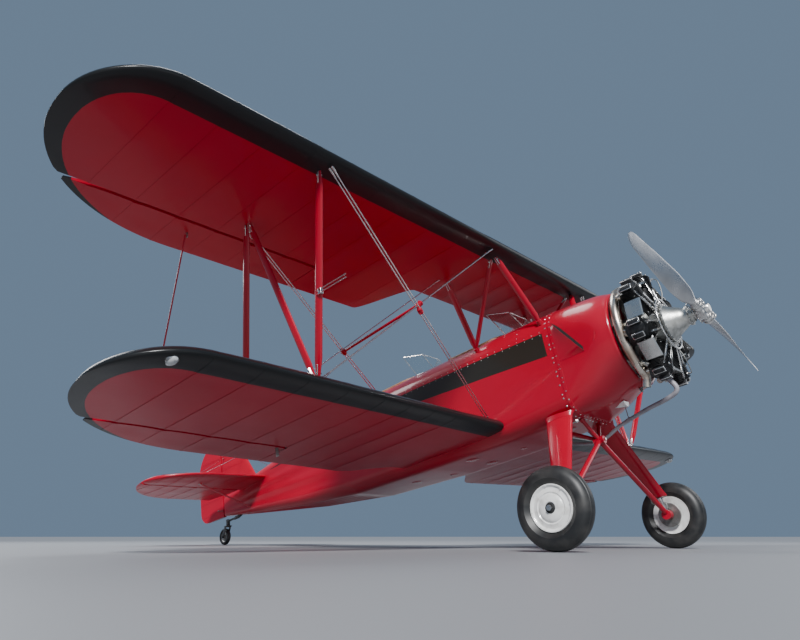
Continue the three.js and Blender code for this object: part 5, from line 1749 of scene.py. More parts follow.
for name, plan, first, start, end, ribs, foot, body, node in TAIL_PIECES:
    rings, lines = [], []
    for span in tail_spans(plan, first, ribs, foot):
        nose, tail = tail_edges(plan, span)
        if tail >= start + 0.012 and nose <= end - 0.012:
            rings.append(tail_ring(plan, span, start, end, foot_cut(span, first, foot), ribs))
    for span in ribs:
        nose, tail = tail_edges(plan, span)
        if span > first + 0.01 and tail >= start + 0.06 and nose <= end - 0.06:
            ring = tail_ring(plan, span, start, end, foot_cut(span, first, foot))
            lines.extend(tape_runs(ring, lambda place: tail_edges(plan, place), span, TAIL_TAPE[0], 0.0006))
    panel = skin(rings, merge=WING_MERGE)
    tapes = grow(path_mesh(lines), tape_tree, Width=TAIL_TAPE[0], Rise=TAIL_TAPE[1], Finish=tail_cloth)
    for mesh, label, replaced in ((panel, "skin", node), (tapes, "tapes", "")):
        if plan is UPRIGHT_TAIL:
            mesh.transform(STAND_UP)
            mesh.flip_normals()
            settle(mesh, f"{name}_{label}", tail_cloth, replaced, body)
            continue
        mesh.transform(shift(z=TAIL_PLANE))
        if mesh is panel and name == "stabiliser":
            inner, front, rear = TUBE_NOTCH
            notch = skin([[(x, front, 0.3), (x, rear, 0.3), (x, rear, 0.9), (x, front, 0.9)]
                          for x in (0.0, inner)])
            mesh = cut_by(mesh, notch)
        settle_pair(mesh, f"{name}_{label}_*", tail_cloth, replaced, body)

torque_parts = [bar((0, ELEVATOR_HINGE, TAIL_PLANE), (0.17, 0, 0), 0.015, 28)]
for side in (-1, 1):
    root = (side * 0.172, ELEVATOR_HINGE + 0.033, TAIL_PLANE)
    torque_parts.append(rounded_box((0.038, 0.07, 0.024), 0.004, root))
    for share in (0.35, 0.75):
        torque_parts.extend(hinge((side * share * LEVEL_TAIL["tip"], ELEVATOR_HINGE, TAIL_PLANE), 0.032))
settle(joined(torque_parts), "elevator_torque_tube", strut_red, body="elevators")
rudder_parts = []
for height in (0.4, 0.72, 1.13):
    rudder_parts.extend(hinge((0, RUDDER_HINGE, height), 0.028, upright=True))
for side in (-1, 1):
    rudder_parts.append(rounded_box((0.085, 0.02, 0.005), 0.002, (side * 0.052, RUDDER_HINGE + 0.032, 0.405)))
    rudder_parts.append(bar((side * 0.086, RUDDER_HINGE + 0.032, 0.4055), (0, 0, 0.0075), 0.004, 8))
settle(joined(rudder_parts), "rudder_fittings", dull_alloy, body="rudder")


# Tail struts and wires
# A streamlined strut props each half of the stabiliser from below, and two stainless wires hold it to the
# fin from above.

PROP_OUTER = Vector((0.82, 3.8, TAIL_PLANE - 0.022))
PROP_INNER = Vector((0.06, 3.78, 0.26))
TAIL_WIRES = [
    # on the fin, on the stabiliser
    (Vector((0.02, 3.99, 1.0)), Vector((0.9, 3.8, TAIL_PLANE + 0.022))),
    (Vector((0.018, 4.39, 1.06)), Vector((0.9, 3.94, TAIL_PLANE + 0.016))),
]
TAIL_TERMINAL = [(-0.004, 0.0062), (0.03, 0.0062), (0.055, 0.0038)]
prop_start = PROP_INNER + (PROP_OUTER - PROP_INNER).normalized() * 0.045
settle_pair(streamlined(prop_start, PROP_OUTER, 0.034, 0.016, narrow=0.3), "tail_prop_*", strut_red,
            "tail_strut_*")
settle_wires(TAIL_WIRES, 0.003, TAIL_TERMINAL, ("tail_wires_*", "tail_terminals_*"),
             others=[end_fitting(PROP_OUTER, prop_start - PROP_OUTER, 0.045, 0.022)])


# Tail wheel
# A pair of spring leaves clamped under the stern ends in a pivot post. A steel fork swivels under it and
# holds a small solid-rubber wheel.

TAIL_PIVOT = Vector((0.0, 4.405, 0.0949))
TAIL_AXLE = TAIL_PIVOT + Vector((0, 0.075, 0))
PIVOT_BOTTOM = TAIL_PIVOT.z + 0.118
PIVOT_TOP = PIVOT_BOTTOM + 0.07
LEAVES = [
    # y and z along each leaf
    ((4.075, 0.322), (4.195, PIVOT_TOP - 0.004), (4.3, PIVOT_TOP - 0.012), (4.4, PIVOT_TOP - 0.02)),
    ((4.07, 0.312), (4.19, PIVOT_TOP - 0.013), (4.29, PIVOT_TOP - 0.021)),
]
SMALL_TYRE = [
    # radius, along
    (0.0605, -0.0165), (0.066, -0.021), (0.074, -0.0238), (0.084, -0.022), (0.092, -0.017), (0.097, -0.01),
    (0.0995, 0.0),
]
SMALL_HUB = [(0.0084, -0.0218), (0.024, -0.0218), (0.028, -0.014), (0.05, -0.01), (0.06, -0.0155)]
spring_steel = metal("spring_steel", (0.2, 0.2, 0.2), (0.07, 0.07, 0.07), 0.35, 0.55, 18, 0.2)


def flat_strip(path, side_way, width, thickness):
    """A flat strip along a path, its width as nearly along the side way as the path lets it."""
    rings = []
    for place, point in enumerate(path):
        ahead = (path[min(place + 1, len(path) - 1)] - path[max(place - 1, 0)]).normalized()
        across = (side_way - ahead * ahead.dot(side_way)).normalized()
        up = across.cross(ahead)
        rings.append([point + across * a * width / 2 + up * b * thickness / 2
                      for a, b in ((-1, -1), (1, -1), (1, 1), (-1, 1))])
    return skin(rings)


spring_parts = [flat_strip(bend([(0, y, z) for y, z in leaf], 6), left, 0.044, 0.0075) for leaf in LEAVES]
spring_parts.extend([
    # the post and its cap, the clip round the leaves and their anchor
    tube([(0, TAIL_PIVOT.y, PIVOT_BOTTOM), (0, TAIL_PIVOT.y, PIVOT_TOP)], 0.024, 28),
    tube([(0, TAIL_PIVOT.y, PIVOT_TOP - 0.006), (0, TAIL_PIVOT.y, PIVOT_TOP + 0.004)], 0.017, 6),
    rounded_box((0.054, 0.02, 0.026), 0.003, (0, 4.215, PIVOT_TOP - 0.01)),
    rounded_box((0.056, 0.05, 0.03), 0.004, (0, 4.085, 0.318)),
])
settle(joined(spring_parts), "tail_spring_leaves", spring_steel, "tail_spring")
fork_parts = [rounded_box((0.078, 0.056, 0.0138), 0.003, (0, 4.411, PIVOT_BOTTOM - 0.0074)),
              bar(TAIL_AXLE, (0.034, 0, 0), 0.008)]
for side in (-1, 1):
    low = (side * 0.034, TAIL_AXLE.y, TAIL_AXLE.z - 0.012)
    high = (side * 0.034, TAIL_PIVOT.y + 0.01, PIVOT_BOTTOM - 0.01)
    fork_parts.append(streamlined(low, high, 0.044, 0.01, steps=4))
    # the boss and its nut
    fork_parts.append(bar(TAIL_AXLE + Vector((side * 0.034, 0, 0)), (0.005, 0, 0), 0.02, 24))
    fork_parts.append(bar(TAIL_AXLE + Vector((side * 0.042, 0, 0)), (0.004, 0, 0), 0.01, 6))
settle(joined(fork_parts), "tail_wheel_fork", spring_steel, "tail_fork", "tail_yoke")
for profile, steps, name, material, replaced in ((SMALL_TYRE, 64, "tyre", tyre_rubber, "tail_wheel"),
                                                 (SMALL_HUB, 48, "hub", dull_alloy, "")):
    far_side = [(radius, -along) for radius, along in profile[::-1] if along]
    settle(turned([*profile, *far_side, profile[0]], steps, "x", TAIL_AXLE), f"tail_wheel_{name}", material,
           replaced, "tail_wheel")


# Cockpit wells
# Two wells lie inside the welded tube frame. Each has a slatted plywood floor, painted side linings and
# a plywood bulkhead at both ends.

FLOOR_LIFT = 0.0246
BOARD = 0.01
BOARDS = 5
BOARD_GAP = 0.0015
LINING_INSET = 0.0235
BULKHEADS = [(-0.388, -0.381), (0.7205, 0.7595), (1.781, 1.788)]
RAIL_HEIGHTS = (0.12, 0.4, LONGERON - 0.03)
well_paint = metal("well_paint", (0.36, 0.4, 0.34), (0.27, 0.31, 0.26), 0.48, 0.66, 12, 0.12, 0.0)

plywood, tree, shader = new_material("plywood")
stretch = add(tree, "ShaderNodeMapping", {"Vector": own_place(tree), "Scale": (9, 1, 9)})
grain = noise(tree, 12, 8, stretch.outputs["Vector"])
relief(tree, shader, grain, 0.15, 0.001)
birch = two_tones(tree, grain, 0.35, (0.34, 0.19, 0.085, 1), 0.65, (0.62, 0.4, 0.2, 1))
feed(tree, shader, {"Base Color": birch, "Roughness": 0.38})


def inset_row(y, depth, top_depth):
    place, half_width, bottom, longeron, top, corner = body_row(y)
    return [place, half_width - depth, bottom + depth, longeron, top - top_depth, max(0.012, corner - depth)]


def floor_height(y):
    return body_row(y)[2] + FLOOR_LIFT + BOARD


for number, faces in enumerate(BULKHEADS):
    rings = [whole_ring(body_half(y, row=inset_row(y, LINING_INSET + 0.002, 0.0108))) for y in faces]
    settle(skin(rings), f"cockpit_bulkhead_{number + 1}", plywood)
for name, start, end, half, well_start, well_end in COCKPITS:
    places = frames_between(well_start, well_end, 0.08)
    sheet = open_sheet([body_half(y, arch=False, row=inset_row(y, LINING_INSET, 0)) for y in places])
    lining = modified(sheet, "SOLIDIFY", thickness=0.001, offset=0.0)
    settle(lining, f"cockpit_lining_{name}", well_paint)
    boards = []
    width = body_row(end)[1] - body_row(end)[5] + 0.05
    for board in range(BOARDS):
        sides = [2 * width * edge / BOARDS - width for edge in (board, board + 1)]
        low_x, high_x = sides[0] + BOARD_GAP, sides[1] - BOARD_GAP
        rings = []
        for y in (well_start + 0.004, well_end - 0.004):
            z = floor_height(y)
            rings.append([(low_x, y, z - BOARD), (high_x, y, z - BOARD), (high_x, y, z), (low_x, y, z)])
        boards.append(skin(rings))
    settle(joined(boards), f"cockpit_floor_{name}", plywood)
    tubes = []
    bays = rib_places(well_start + 0.03, well_end - 0.03, 0.36)
    for side in (-1, 1):
        rails = [[(side * (body_row(y)[1] - 0.038), y, z) for y in bays] for z in RAIL_HEIGHTS]
        tubes.extend(tube(rail, 0.0105, 12) for rail in rails)
        tubes.extend(tube(ends, 0.009, 12) for ends in zip(rails[0], rails[-1]))
        tubes.extend(tube(ends, 0.008, 12) for ends in zip(rails[0], rails[-1][1:]))
    settle(joined(tubes), f"cockpit_tubes_{name}", well_paint)


# Seats
# A riveted alloy bucket carries a leather seat cushion and back cushion, sewn in four channels with piped
# edges and hand-stitched seams.

CHANNELS = 4
SEAT_TOP = 0.2
CUSHION_DEPTH = 0.06
BACK_LEAN = math.atan2(0.11, 0.415)
BACK_LENGTH = math.hypot(0.11, 0.415)
BACK_MIDDLE = 0.4875
SEAT_SIDE = [
    # y from the rim's rear end, z: along the rolled edge
    (-0.41, 0.2), (-0.38, 0.25), (-0.1, 0.32), (-0.01, 0.48), (0.06, 0.69),
]
SIDE_REAR = [(0.055, 0.67), (0.0, 0.2)]
CLOTH = {"vertex_group_mass": "held", "use_pressure": True, "uniform_pressure_force": 4.0, "mass": 0.25,
         "tension_stiffness": 12, "compression_stiffness": 12, "bending_stiffness": 0.4, "quality": 5}
CLOTH_FRAMES = 20
waxed_thread = metal("waxed_thread", (0.52, 0.42, 0.26), (0.36, 0.28, 0.16), 0.6, 0.8, 40, 0.1, 0.0)

brown_leather, tree, shader = new_material("brown_leather")
hide = add(tree, "ShaderNodeTexVoronoi", {"Scale": 260, "Vector": own_place(tree)})
relief(tree, shader, hide.outputs["Distance"], 0.35, 0.0006)
wear = noise(tree, 7, 6)
tan = two_tones(tree, wear, 0.32, (0.15, 0.062, 0.028, 1), 0.72, (0.36, 0.165, 0.075, 1))
feed(tree, shader, {"Base Color": tan, "Roughness": between(tree, wear, 0, 1, 0.38, 0.58)})

# Short threads laid end to end along each path.
stitch_tree, given = node_tree("stitches", Pitch=0.006, Thread=0.0007, Length=0.004)
curve = add(stitch_tree, "GeometryNodeMeshToCurve", {"Mesh": given["Geometry"]})
points = add(stitch_tree, "GeometryNodeCurveToPoints",
             {"Curve": curve.outputs["Curve"], "Length": given["Pitch"]}, mode="LENGTH")
thread = add(stitch_tree, "GeometryNodeMeshCylinder",
             {"Vertices": 6, "Radius": given["Thread"], "Depth": given["Length"]})
repeated(stitch_tree, given, points.outputs["Points"], thread.outputs["Mesh"],
         {"Rotation": points.outputs["Rotation"]})


def stitched(lines, pitch, thickness, length):
    return grow(path_mesh(lines), stitch_tree, Pitch=pitch, Thread=thickness, Length=length,
                Finish=waxed_thread)


def channel_seams(width):
    return [-width / 2 + width * step / CHANNELS for step in range(1, CHANNELS)]


def stuffed(width, depth, thickness, cap=0.016):
    """A channelled cushion, lying flat at the origin, blown up by cloth pressure between its seams."""
    soft = modified(rounded_box((width, depth, thickness), 0.012), "REMESH", mode="VOXEL", voxel_size=0.006)
    start = [corner.co.copy() for corner in soft.vertices]
    holder = added("cushion", soft)
    held = holder.vertex_groups.new(name="held")
    for number, (x, y, z) in enumerate(start):
        on_seam = z > 0 and min(abs(x - seam) for seam in channel_seams(width)) < 0.0035
        if on_seam and abs(y) < depth / 2 - 0.018 or z < -thickness / 2 + 0.002:
            held.add([number], 1.0, "REPLACE")
    cloth = holder.modifiers.new("cloth", "CLOTH")
    for key, value in CLOTH.items():
        setattr(cloth.settings, key, value)
    cloth.settings.effector_weights.gravity = 0.0
    for moment in range(1, CLOTH_FRAMES + 1):
        bpy.context.scene.frame_set(moment)
    swollen = finished_mesh(holder)
    bpy.context.scene.frame_set(1)
    for corner, rest in zip(swollen.vertices, start):
        move = corner.co - rest
        if move.length > cap:
            corner.co = rest + move * (cap / move.length)
    return modified(swollen, "SUBSURF", levels=1)


for name, start, end, half, well_start, well_end in COCKPITS:
    seat_half = 0.8 * half - 0.006
    floor_z = floor_height(end)
    bucket = [rounded_box((2 * seat_half, 0.395, SEAT_TOP - floor_z - 0.004), 0.012,
                          (0, end - 0.215, (SEAT_TOP + floor_z) / 2 + 0.001)),
              placed(rounded_box((2 * seat_half + 0.006, 0.01, BACK_LENGTH + 0.06), 0.004),
                     shift(0, end + 0.03, BACK_MIDDLE - 0.01) @ spin(-BACK_LEAN, "X"))]
    rivets = []
    for side in (-1, 1):
        bucket.append(tube(bend([(side * seat_half, end + y, z) for y, z in SEAT_SIDE]), 0.007, 12))
        bucket.append(skin([[(side * x, end + y, z) for y, z in SEAT_SIDE + SIDE_REAR]
                            for x in (seat_half - 0.002, seat_half)]))
        rivets.extend((Vector((side * seat_half, y, SEAT_TOP - 0.022)), left * side)
                      for y in np.linspace(end - 0.4, end - 0.03, 12))
    bucket.append(heads(rivets, 0.0032, 0.002, dull_alloy))
    settle(joined(bucket), f"seat_bucket_{name}", dull_alloy, f"seat_{name}")
    width = 2 * seat_half - 0.04
    seat_place = shift(0, end - 0.232, SEAT_TOP + CUSHION_DEPTH / 2 + 0.001)
    back_place = shift(0, end - 0.032, BACK_MIDDLE + 0.002) @ spin(math.pi / 2 - BACK_LEAN, "X")
    for label, depth, thickness, place in (("seat_cushion", 0.34, CUSHION_DEPTH, seat_place),
                                           ("back_cushion", BACK_LENGTH - 0.03, 0.05, back_place)):
        pad = placed(stuffed(width, depth, thickness), place)
        settle(pad, f"{label}_{name}", brown_leather, angle=60)
        edge = round_outline(0.002 - depth / 2, depth / 2 - 0.002, width / 2 - 0.002, 0.014, 5)
        piping = tube([(x, y, thickness * 0.3) for x, y in edge + edge[:1]], 0.0035, 8, caps=False)
        settle(placed(piping, place), f"{label}_piping_{name}", brown_leather)
        along = np.linspace(0.02 - depth / 2, depth / 2 - 0.02, 12)
        lines = [[(x, y, thickness / 2 + 0.0006) for y in along] for x in channel_seams(width)]
        settle(placed(stitched(lines, 0.007, 0.0008, 0.005), place), f"{label}_stitches_{name}", waxed_thread)


# Lap belts
# Olive cotton webbing comes from lugs beside the seat and lies over the cushion to a stamped steel buckle.

STRAP_WIDTH = 0.046
STRAP_THICKNESS = 0.0024
webbing = metal("webbing", (0.2, 0.19, 0.11), (0.13, 0.12, 0.07), 0.75, 0.9, 90, 0.5, 0.0)
for name, start, end, half, well_start, well_end in COCKPITS:
    seat_half = 0.8 * half
    over = SEAT_TOP + CUSHION_DEPTH + 0.02
    strap = [
        # x, y, z
        (seat_half + 0.012, end - 0.085, SEAT_TOP - 0.01), (seat_half + 0.004, end - 0.1, SEAT_TOP + 0.13),
        (seat_half - 0.05, end - 0.14, over + 0.026), (0.12, end - 0.19, over + 0.004),
        (0.03, end - 0.215, over + 0.006),
    ]
    straps = [flat_strip(bend([(side * x, y, z) for x, y, z in strap]), Vector((0, 1, 0)), STRAP_WIDTH,
                         STRAP_THICKNESS) for side in (-1, 1)]
    settle(joined(straps), f"lap_belt_{name}", webbing)
    buckle = [rounded_box((0.058, 0.052, 0.005), 0.002, (0, end - 0.218, over + 0.01)),
              rounded_box((0.036, 0.03, 0.005), 0.002, (0.004, end - 0.218, over + 0.015))]
    settle(joined(buckle), f"belt_buckle_{name}", bright_steel)


# Instrument panels
# Black crackle-painted plates below the deck. Each dial has a turned bezel, a black face with white marks
# and a needle, and a row of toggle switches sits below.

PANEL_FOOT = 0.47
SWITCH_Z = 0.6
PANEL_SCREWS = ((0.36, 0.5), (0.36, 0.65), (0.18, 0.5), (0.2, 0.845))
DIALS = {
    "front": [
        # x, z, radius, where the needle points in degrees
        (-0.12, 0.78, 0.04, 30), (0.0, 0.8, 0.04, -70), (0.12, 0.78, 0.04, 120),
    ],
    "rear": [
        (-0.23, 0.72, 0.034, 200), (-0.14, 0.77, 0.041, 30), (-0.045, 0.8, 0.041, -60),
        (0.05, 0.8, 0.041, 140), (0.145, 0.77, 0.041, 75), (0.235, 0.72, 0.034, -20),
        (-0.1, 0.675, 0.029, 10), (0.0, 0.69, 0.034, 100), (0.1, 0.675, 0.029, -110),
    ],
}
BEZEL = [
    # radius and height, from the dial's edge and the plate
    (0.0, 0.0), (0.003, 0.003), (0.002, 0.008), (-0.002, 0.01), (-0.005, 0.006), (-0.005, 0.001), (0.0, 0.0),
]
panel_crackle = metal("panel_crackle", (0.03, 0.03, 0.031), (0.016, 0.016, 0.017), 0.45, 0.65, 60, 0.6, 0.0)
dial_white = metal("dial_white", (0.8, 0.79, 0.72), (0.68, 0.66, 0.58), 0.5, 0.6, 30, 0.05, 0.0)


def dial_mark(size, radius, place, angle, reach):
    """A small white bar on a dial, turned about the dial's middle and moved out from it."""
    return placed(rounded_box(size, radius), shift(*place) @ spin(math.radians(angle), "Y") @ shift(z=reach))


for name, start, end, half, well_start, well_end in COCKPITS:
    face_y = start - 0.004
    rings = []
    for y in (start - 0.0155, face_y):
        arch = body_half(y, under=False, row=inset_row(y, 0.024, 0.0112))
        foot = [(side * arch[-1][0], y, PANEL_FOOT) for side in (1, -1)]
        rings.append(arch + foot + [(-x, y, z) for x, _, z in reversed(arch[1:])])
    settle(skin(rings), f"panel_plate_{name}", panel_crackle, f"instrument_panel_{name}")
    bezels, marks, faces = [], [], []
    for x, z, radius, points_at in DIALS[name]:
        inner = radius - 0.005
        bezels.append(turned([(radius + out, lift) for out, lift in BEZEL], 40, place=(x, face_y, z)))
        faces.append(turned([(0.0, 0.0004), (inner, 0.0004), (inner, 0.0016), (0.0, 0.0016)], 40,
                            place=(x, face_y, z)))
        for tick in range(24):
            size = (0.0011, 0.0006, 0.004 if tick % 3 else 0.007)
            marks.append(dial_mark(size, 0.0002, (x, face_y + 0.002, z), 15 * tick, radius - 0.011))
        size = (0.0018, 0.0006, radius * 0.8)
        marks.append(dial_mark(size, 0.0003, (x, face_y + 0.0034, z), points_at, radius * 0.22))
    for x in np.linspace(-0.08, 0.08, 5):
        bezels.append(bar((x, face_y + 0.002, SWITCH_Z), (0, 0.002, 0), 0.007, 6))
        lever = [(x, face_y + 0.003, SWITCH_Z), (x, face_y + 0.017, SWITCH_Z + 0.004)]
        bezels.append(tube(lever, [0.0026, 0.0036], 10))
    screws = both_sides([(Vector((x, face_y, z)), Vector((0, 1, 0))) for x, z in PANEL_SCREWS])
    bezels.append(heads(screws, 0.0042, 0.002, dull_alloy))
    settle(joined(bezels), f"panel_bezels_{name}", dull_alloy)
    settle(joined(faces), f"panel_dials_{name}", rubber_black)
    settle(joined(marks), f"panel_marks_{name}", dial_white)


# Controls
# A steel stick with a rubber grip stands before each seat, with rudder pedals ahead of it and a throttle
# lever on the left side.

STICK = ((0, 0, 0), (0, 0.004, 0.26), (0, 0.03, 0.46))
GRIP = ((0, 0.02, 0.38), (0, 0.024, 0.42), (0, 0.03, 0.476), (0, 0.032, 0.484))
THROTTLE_KNOB = ((-0.01, 0.02, 0.07), (-0.011, 0.022, 0.08), (-0.012, 0.024, 0.092))


def from_point(start, steps):
    return [start + Vector(step) for step in steps]


for name, start, end, half, well_start, well_end in COCKPITS:
    foot = Vector((0, end - 0.5, floor_height(end - 0.5)))
    quadrant = Vector((body_row(start)[1] - 0.06, start + 0.18, 0.57))
    parts = [tube(bend(from_point(foot, STICK)), 0.011, 16),
             tube(from_point(foot, ((0, 0, 0), (0, 0, 0.03))), 0.022, 20),
             rounded_box((0.02, 0.09, 0.036), 0.006, quadrant),
             tube(from_point(quadrant, ((0, 0, 0), (-0.01, 0.02, 0.075))), 0.004, 10)]
    for side in (-1, 1):
        pedal_foot = Vector((side * 0.13, well_start + 0.12, floor_height(well_start + 0.12)))
        pedal = pedal_foot + Vector((0, -0.02, 0.15))
        parts.extend((tube([pedal_foot, pedal], 0.009, 12), bar(pedal, (0.05, 0, 0), 0.012, 14)))
    settle(joined(parts), f"cockpit_controls_{name}", dull_alloy)
    grips = [tube(from_point(quadrant, THROTTLE_KNOB), [0.006, 0.011, 0.005], 16),
             tube(from_point(foot, GRIP), [0.015, 0.017, 0.016, 0.008], 18)]
    settle(joined(grips), f"cockpit_grips_{name}", rubber_black)


# Coamings
# The rim of each cockpit is padded with a roll of leather over split tubing, sewn to the deck along its
# outer edge.

COAMING_RADIUS = 0.015
for name, start, end, half, well_start, well_end in COCKPITS:
    outline = rim_outline(start, end, half, 12)
    path = []
    for (ax, ay), (bx, by) in zip(outline, outline[1:] + outline[:1]):
        pieces = max(1, round(math.hypot(bx - ax, by - ay) / 0.03))
        for step in range(pieces):
            x, y = ax + (bx - ax) * step / pieces, ay + (by - ay) * step / pieces
            path.append(Vector((x, y, deck_height(x, y) - 0.002)))
    path.append(path[0])
    sizes = [COAMING_RADIUS * (1 + 0.035 * math.sin(9.0 * place)) for place in range(len(path) - 1)]
    roll = tube(path, [*sizes, sizes[0]], 16, caps=False)
    settle(roll, f"coaming_{name}", brown_leather, angle=70)
    seam = []
    for point in path:
        outward = Vector((point.x, (point.y - (start + end) / 2) * 0.8, 0)).normalized()
        x, y, _ = point + outward * (COAMING_RADIUS + 0.002)
        seam.append((x, y, deck_height(x, y) + 0.0008))
    settle(stitched([seam], 0.01, 0.001, 0.007), f"coaming_stitches_{name}", waxed_thread)


# Windshields
# Three flat acrylic panes lean back in front of each cockpit, in a bright alloy frame that is screwed to
# the deck.

PANE_TOP = 1.125
PANE_LEAN = 0.55
PANE_AHEAD = 0.19
SCREW_AHEAD = 0.014
acrylic, tree, shader = new_material("acrylic")
feed(tree, shader, {"Base Color": (0.93, 0.96, 0.95, 1), "Transmission Weight": 1.0, "IOR": 1.45,
                    "Roughness": between(tree, noise(tree, 8, 6), 0, 1, 0.01, 0.09)})


def on_pane(x, y, z):
    """A point of the windshield's leaning surface, for its place in plan and its height."""
    return Vector((x, y + PANE_LEAN * (z - 0.95), z))


def pane_foot(x, y):
    z = deck_height(x, y)
    for _ in range(6):
        z = deck_height(x, on_pane(x, y, z).y)
    return on_pane(x, y, z - 0.002)


for name, start, end, half, well_start, well_end in COCKPITS:
    front = start - PANE_AHEAD
    corners = [(-half, front + 0.15), (-half / 2, front), (half / 2, front), (half, front + 0.15)]
    frames, screws, panes = [], [], []
    for (ax, ay), (bx, by) in zip(corners, corners[1:]):
        line = [(ax + (bx - ax) * share, ay + (by - ay) * share) for share in np.linspace(0, 1, 9)]
        feet = [pane_foot(x, y) for x, y in line]
        tops = [on_pane(x, y, PANE_TOP) for x, y in line]
        sheet = mesh_of(feet + tops, [(step, step + 1, step + 10, step + 9) for step in range(8)])
        panes.append(modified(sheet, "SOLIDIFY", thickness=0.004, offset=0.0))
        frames.extend((tube([tops[0], tops[-1]], 0.005, 12), tube(feet, 0.0062, 12),
                       tube([feet[0], tops[0]], 0.0056, 12)))
        for x, y, _ in feet[1:-1:2]:
            y -= SCREW_AHEAD
            screws.append((Vector((x, y, deck_height(x, y))), Vector((x, 0, 0.5)).normalized()))
    frames.append(tube([feet[-1], tops[-1]], 0.0056, 12))
    settle(joined(panes), f"windshield_panes_{name}", acrylic, f"windshield_{name}")
    settle(joined(frames), f"windshield_frame_{name}", bright_steel)
    settle_heads(screws, 0.004, 0.002, bright_steel, f"windshield_screws_{name}")


# Deck and side fastenings
# Rows of flush screws hold the metal deck along the longerons and across its joints. A filler neck with a
# bright cap stands on the deck ahead of the front windshield.

FILLER_Y = FIRE_WALL + 0.18
FILLER_PROFILE = [
    # radius, height
    (0.0, 0.0), (0.052, 0.0), (0.052, 0.008), (0.036, 0.01), (0.036, 0.02), (0.041, 0.021), (0.041, 0.033),
    (0.036, 0.037), (0.0, 0.038),
]
deck_screws = []
for y in np.arange(FIRE_WALL + 0.08, TAIL_JOIN - 0.02, 0.075):
    deck_screws.extend((Vector((body_row(y)[1] + out, y, LONGERON + lift)), left)
                       for out, lift in ((0.0002, -0.012), (-0.0002, 0.014)))
for y in (FIRE_WALL + 0.3, 0.78, TAIL_JOIN - 0.016):
    deck_screws.extend(on_ring(body_half(y, under=False), 0.06))
settle_heads(both_sides(deck_screws), 0.0045, 0.0016, dull_alloy, "deck_screws")
settle(turned(FILLER_PROFILE, 32, "z", (0, FILLER_Y, deck_height(0, FILLER_Y) - 0.004)), "fuel_filler",
       bright_steel)


# Belly and engine bay fittings
# A breather pipe runs back from the sump under the cowl and the belly, a bent vent tube stands by the right
# leg, a small scoop and a drain sit under the cowl, and screwed plates cover the inspection holes.

SCOOP = [
    # y, where the belly's height is taken, corners by x and z from there
    (-0.905, -0.85, ((-0.03, 0.012), (0.07, 0.012), (0.05, -0.026), (-0.01, -0.026))),
    (-0.8, -0.8, ((0.01, 0.01), (0.03, 0.01), (0.028, 0.002), (0.012, 0.002))),
]
PLATES = [
    # x, y, radius
    (0.04, 0.125, 0.032), (-0.16, 0.56, 0.06), (0.16, 0.56, 0.06), (0.0, 1.35, 0.06),
    (0.0, -0.38, 0.05), (0.14, 1.0, 0.045),
]
grey_paint = metal("grey_paint", (0.34, 0.33, 0.36), (0.25, 0.24, 0.27), 0.32, 0.5, 12, 0.1, 0.0)
vent_path = bend([(-0.3, -0.42, -0.022), (-0.305, -0.43, -0.064), (-0.312, -0.5, -0.08),
                  (-0.318, -0.6, -0.082)])
knob_path = from_point(vent_path[-1], ((0, 0.012, 0), (0, 0, 0), (0, -0.014, 0)))
vent_parts = [tube(vent_path, 0.0095, 14), bar((-0.3, -0.42, -0.025), (0, 0, -0.005), 0.02, 20),
              tube(knob_path, [0.012, 0.018, 0.01], 16)]
settle(joined(vent_parts), "vent_tube", bright_steel)
pipe_path = bend([(0.02, -1.27, 0.12), (0.03, -1.31, -0.03), (0.08, -1.0, -0.08),
                  (0.124, -0.757, -0.12), (0.1, -0.54, -0.2), (0.21, -0.19, -0.1)], 10)
sizes = [float(size) for size in np.linspace(0.021, 0.012, len(pipe_path))]
breather = [tube(pipe_path, sizes, 16)]
for place in (26, len(pipe_path) - 2):
    at = pipe_path[place]
    breather.append(tube([at, (at.x, at.y, belly_height(at.x, at.y) + 0.006)], 0.0045, 10))
    breather.append(tube(pipe_path[place - 1:place + 2], sizes[place] + 0.0015, 16))
settle(joined(breather), "breather_pipe", grey_paint)
sump = [rounded_box((0.11, 0.1, 0.19), 0.016, (0, -1.255, 0.215)),
        bar((0, -1.255, 0.1155), (0, 0, -0.0095), 0.014, 6)]
settle(joined(sump), "oil_sump", cast_alloy)
scoop = [[(x, y, belly_height(0.02, level_y) + z) for x, z in corners] for y, level_y, corners in SCOOP]
settle(skin(scoop), "belly_scoop", wheel_white, angle=20)
drain_foot = Vector((0, -1.06, belly_height(0, -1.06)))
drain = [tube(from_point(drain_foot, ((0, 0, 0.01), (0, -0.004, -0.034))), 0.011, 16),
         tube(from_point(drain_foot, ((0, -0.001, -0.002), (0, -0.002, -0.012))), 0.017, 6)]
settle(joined(drain), "cowl_drain", dull_alloy)
plates, plate_screws = [], []
for x, y, radius in PLATES:
    z = belly_height(x, y)
    profile = [(0.0, 0.0022), (radius - 0.003, 0.0022), (radius, 0.0008), (radius, -0.0035), (0.0, -0.0035)]
    plates.append(placed(turned(profile, 40, "z"), shift(x, y, z) @ spin(math.pi, "X")))
    reach = radius - 0.009
    plate_screws.extend((Vector((x + reach * math.cos(angle), y + reach * math.sin(angle), z - 0.0022)),
                         Vector((0, 0, -1))) for angle in turns(8))
settle(joined(plates), "belly_plates", plain_sheet)
settle_heads(plate_screws, 0.0036, 0.0018, bright_steel, "belly_plate_screws")


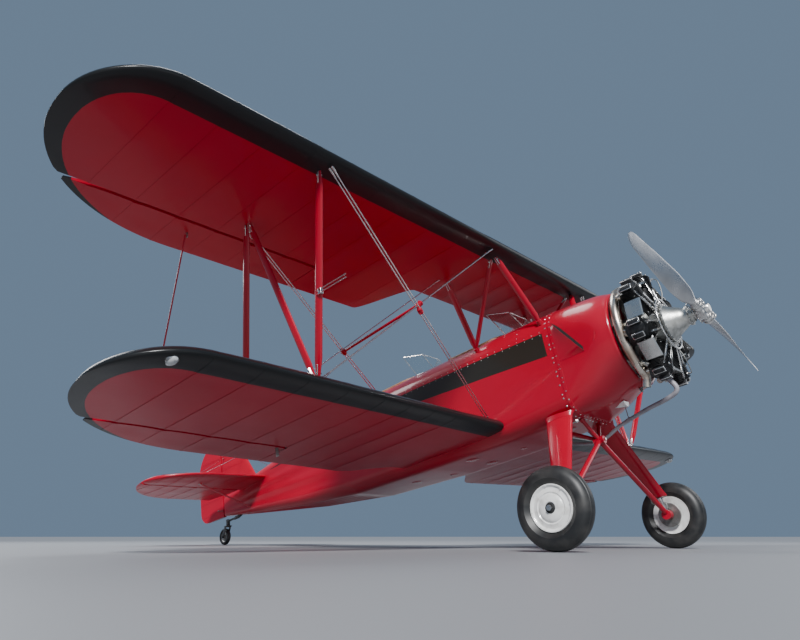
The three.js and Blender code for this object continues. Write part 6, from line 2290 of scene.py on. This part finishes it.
# Lights and probes
# A teardrop lamp with a clear glass stands near each lower wing tip and on the rudder's trailing edge, and
# a pitot tube is clipped to the right front strut.

LAMP_X = LOWER_WING["tip"] - 0.3
LAMP_PROFILE = [
    # radius, along
    (0.0, -0.048), (0.014, -0.044), (0.024, -0.03), (0.028, -0.012), (0.026, 0.01), (0.017, 0.034),
    (0.007, 0.052), (0.0, 0.056),
]
LAMP_RIM = [(0.03, -0.004), (0.036, -0.004), (0.038, 0.006), (0.03, 0.006), (0.03, -0.004)]
TAIL_LAMP_Z = 0.82
TAIL_LAMP_SIZE = 0.62
lamp_glass, tree, shader = new_material("lamp_glass")
relief(tree, shader, noise(tree, 60), 0.2, 0.001)
feed(tree, shader, {"Base Color": (0.9, 0.93, 0.95, 1), "Roughness": 0.1, "Transmission Weight": 0.55})

lamp_y = wing_at(LOWER_WING, LAMP_X)[0] + 0.075
lamp_z = height_on(LOWER_WING, LAMP_X, lamp_y, False)
glass = turned(LAMP_PROFILE, 28, place=(LAMP_X, lamp_y, lamp_z - 0.004))
settle_pair(glass, "tip_lamp_*", lamp_glass)
rim = turned(LAMP_RIM, 32, "z", (LAMP_X, lamp_y - 0.005, lamp_z - 0.002))
settle_pair(rim, "tip_lamp_rim_*", bright_steel)
small_lamp = turned([(radius * TAIL_LAMP_SIZE, along * TAIL_LAMP_SIZE) for radius, along in LAMP_PROFILE], 28,
                    place=(0, tail_edges(UPRIGHT_TAIL, TAIL_LAMP_Z)[1] - 0.022, TAIL_LAMP_Z))
settle(small_lamp, "tail_lamp", lamp_glass, body="rudder")
pitot_at = strut_foot(FRONT_SPAR).lerp(strut_head(FRONT_SPAR), 0.42)
pitot_at.x = -pitot_at.x
pitot_parts = [rounded_box((0.026, 0.03, 0.046), 0.004, pitot_at + Vector((-0.01, -0.028, 0)))]
for lift in (-0.012, 0.012):
    line = [pitot_at + Vector((-0.016, y, lift)) for y in (0, -0.03, -0.19, -0.27)]
    pitot_parts.append(tube(bend(line, 6), 0.0046, 12))
settle(joined(pitot_parts), "pitot_tubes", bright_steel)
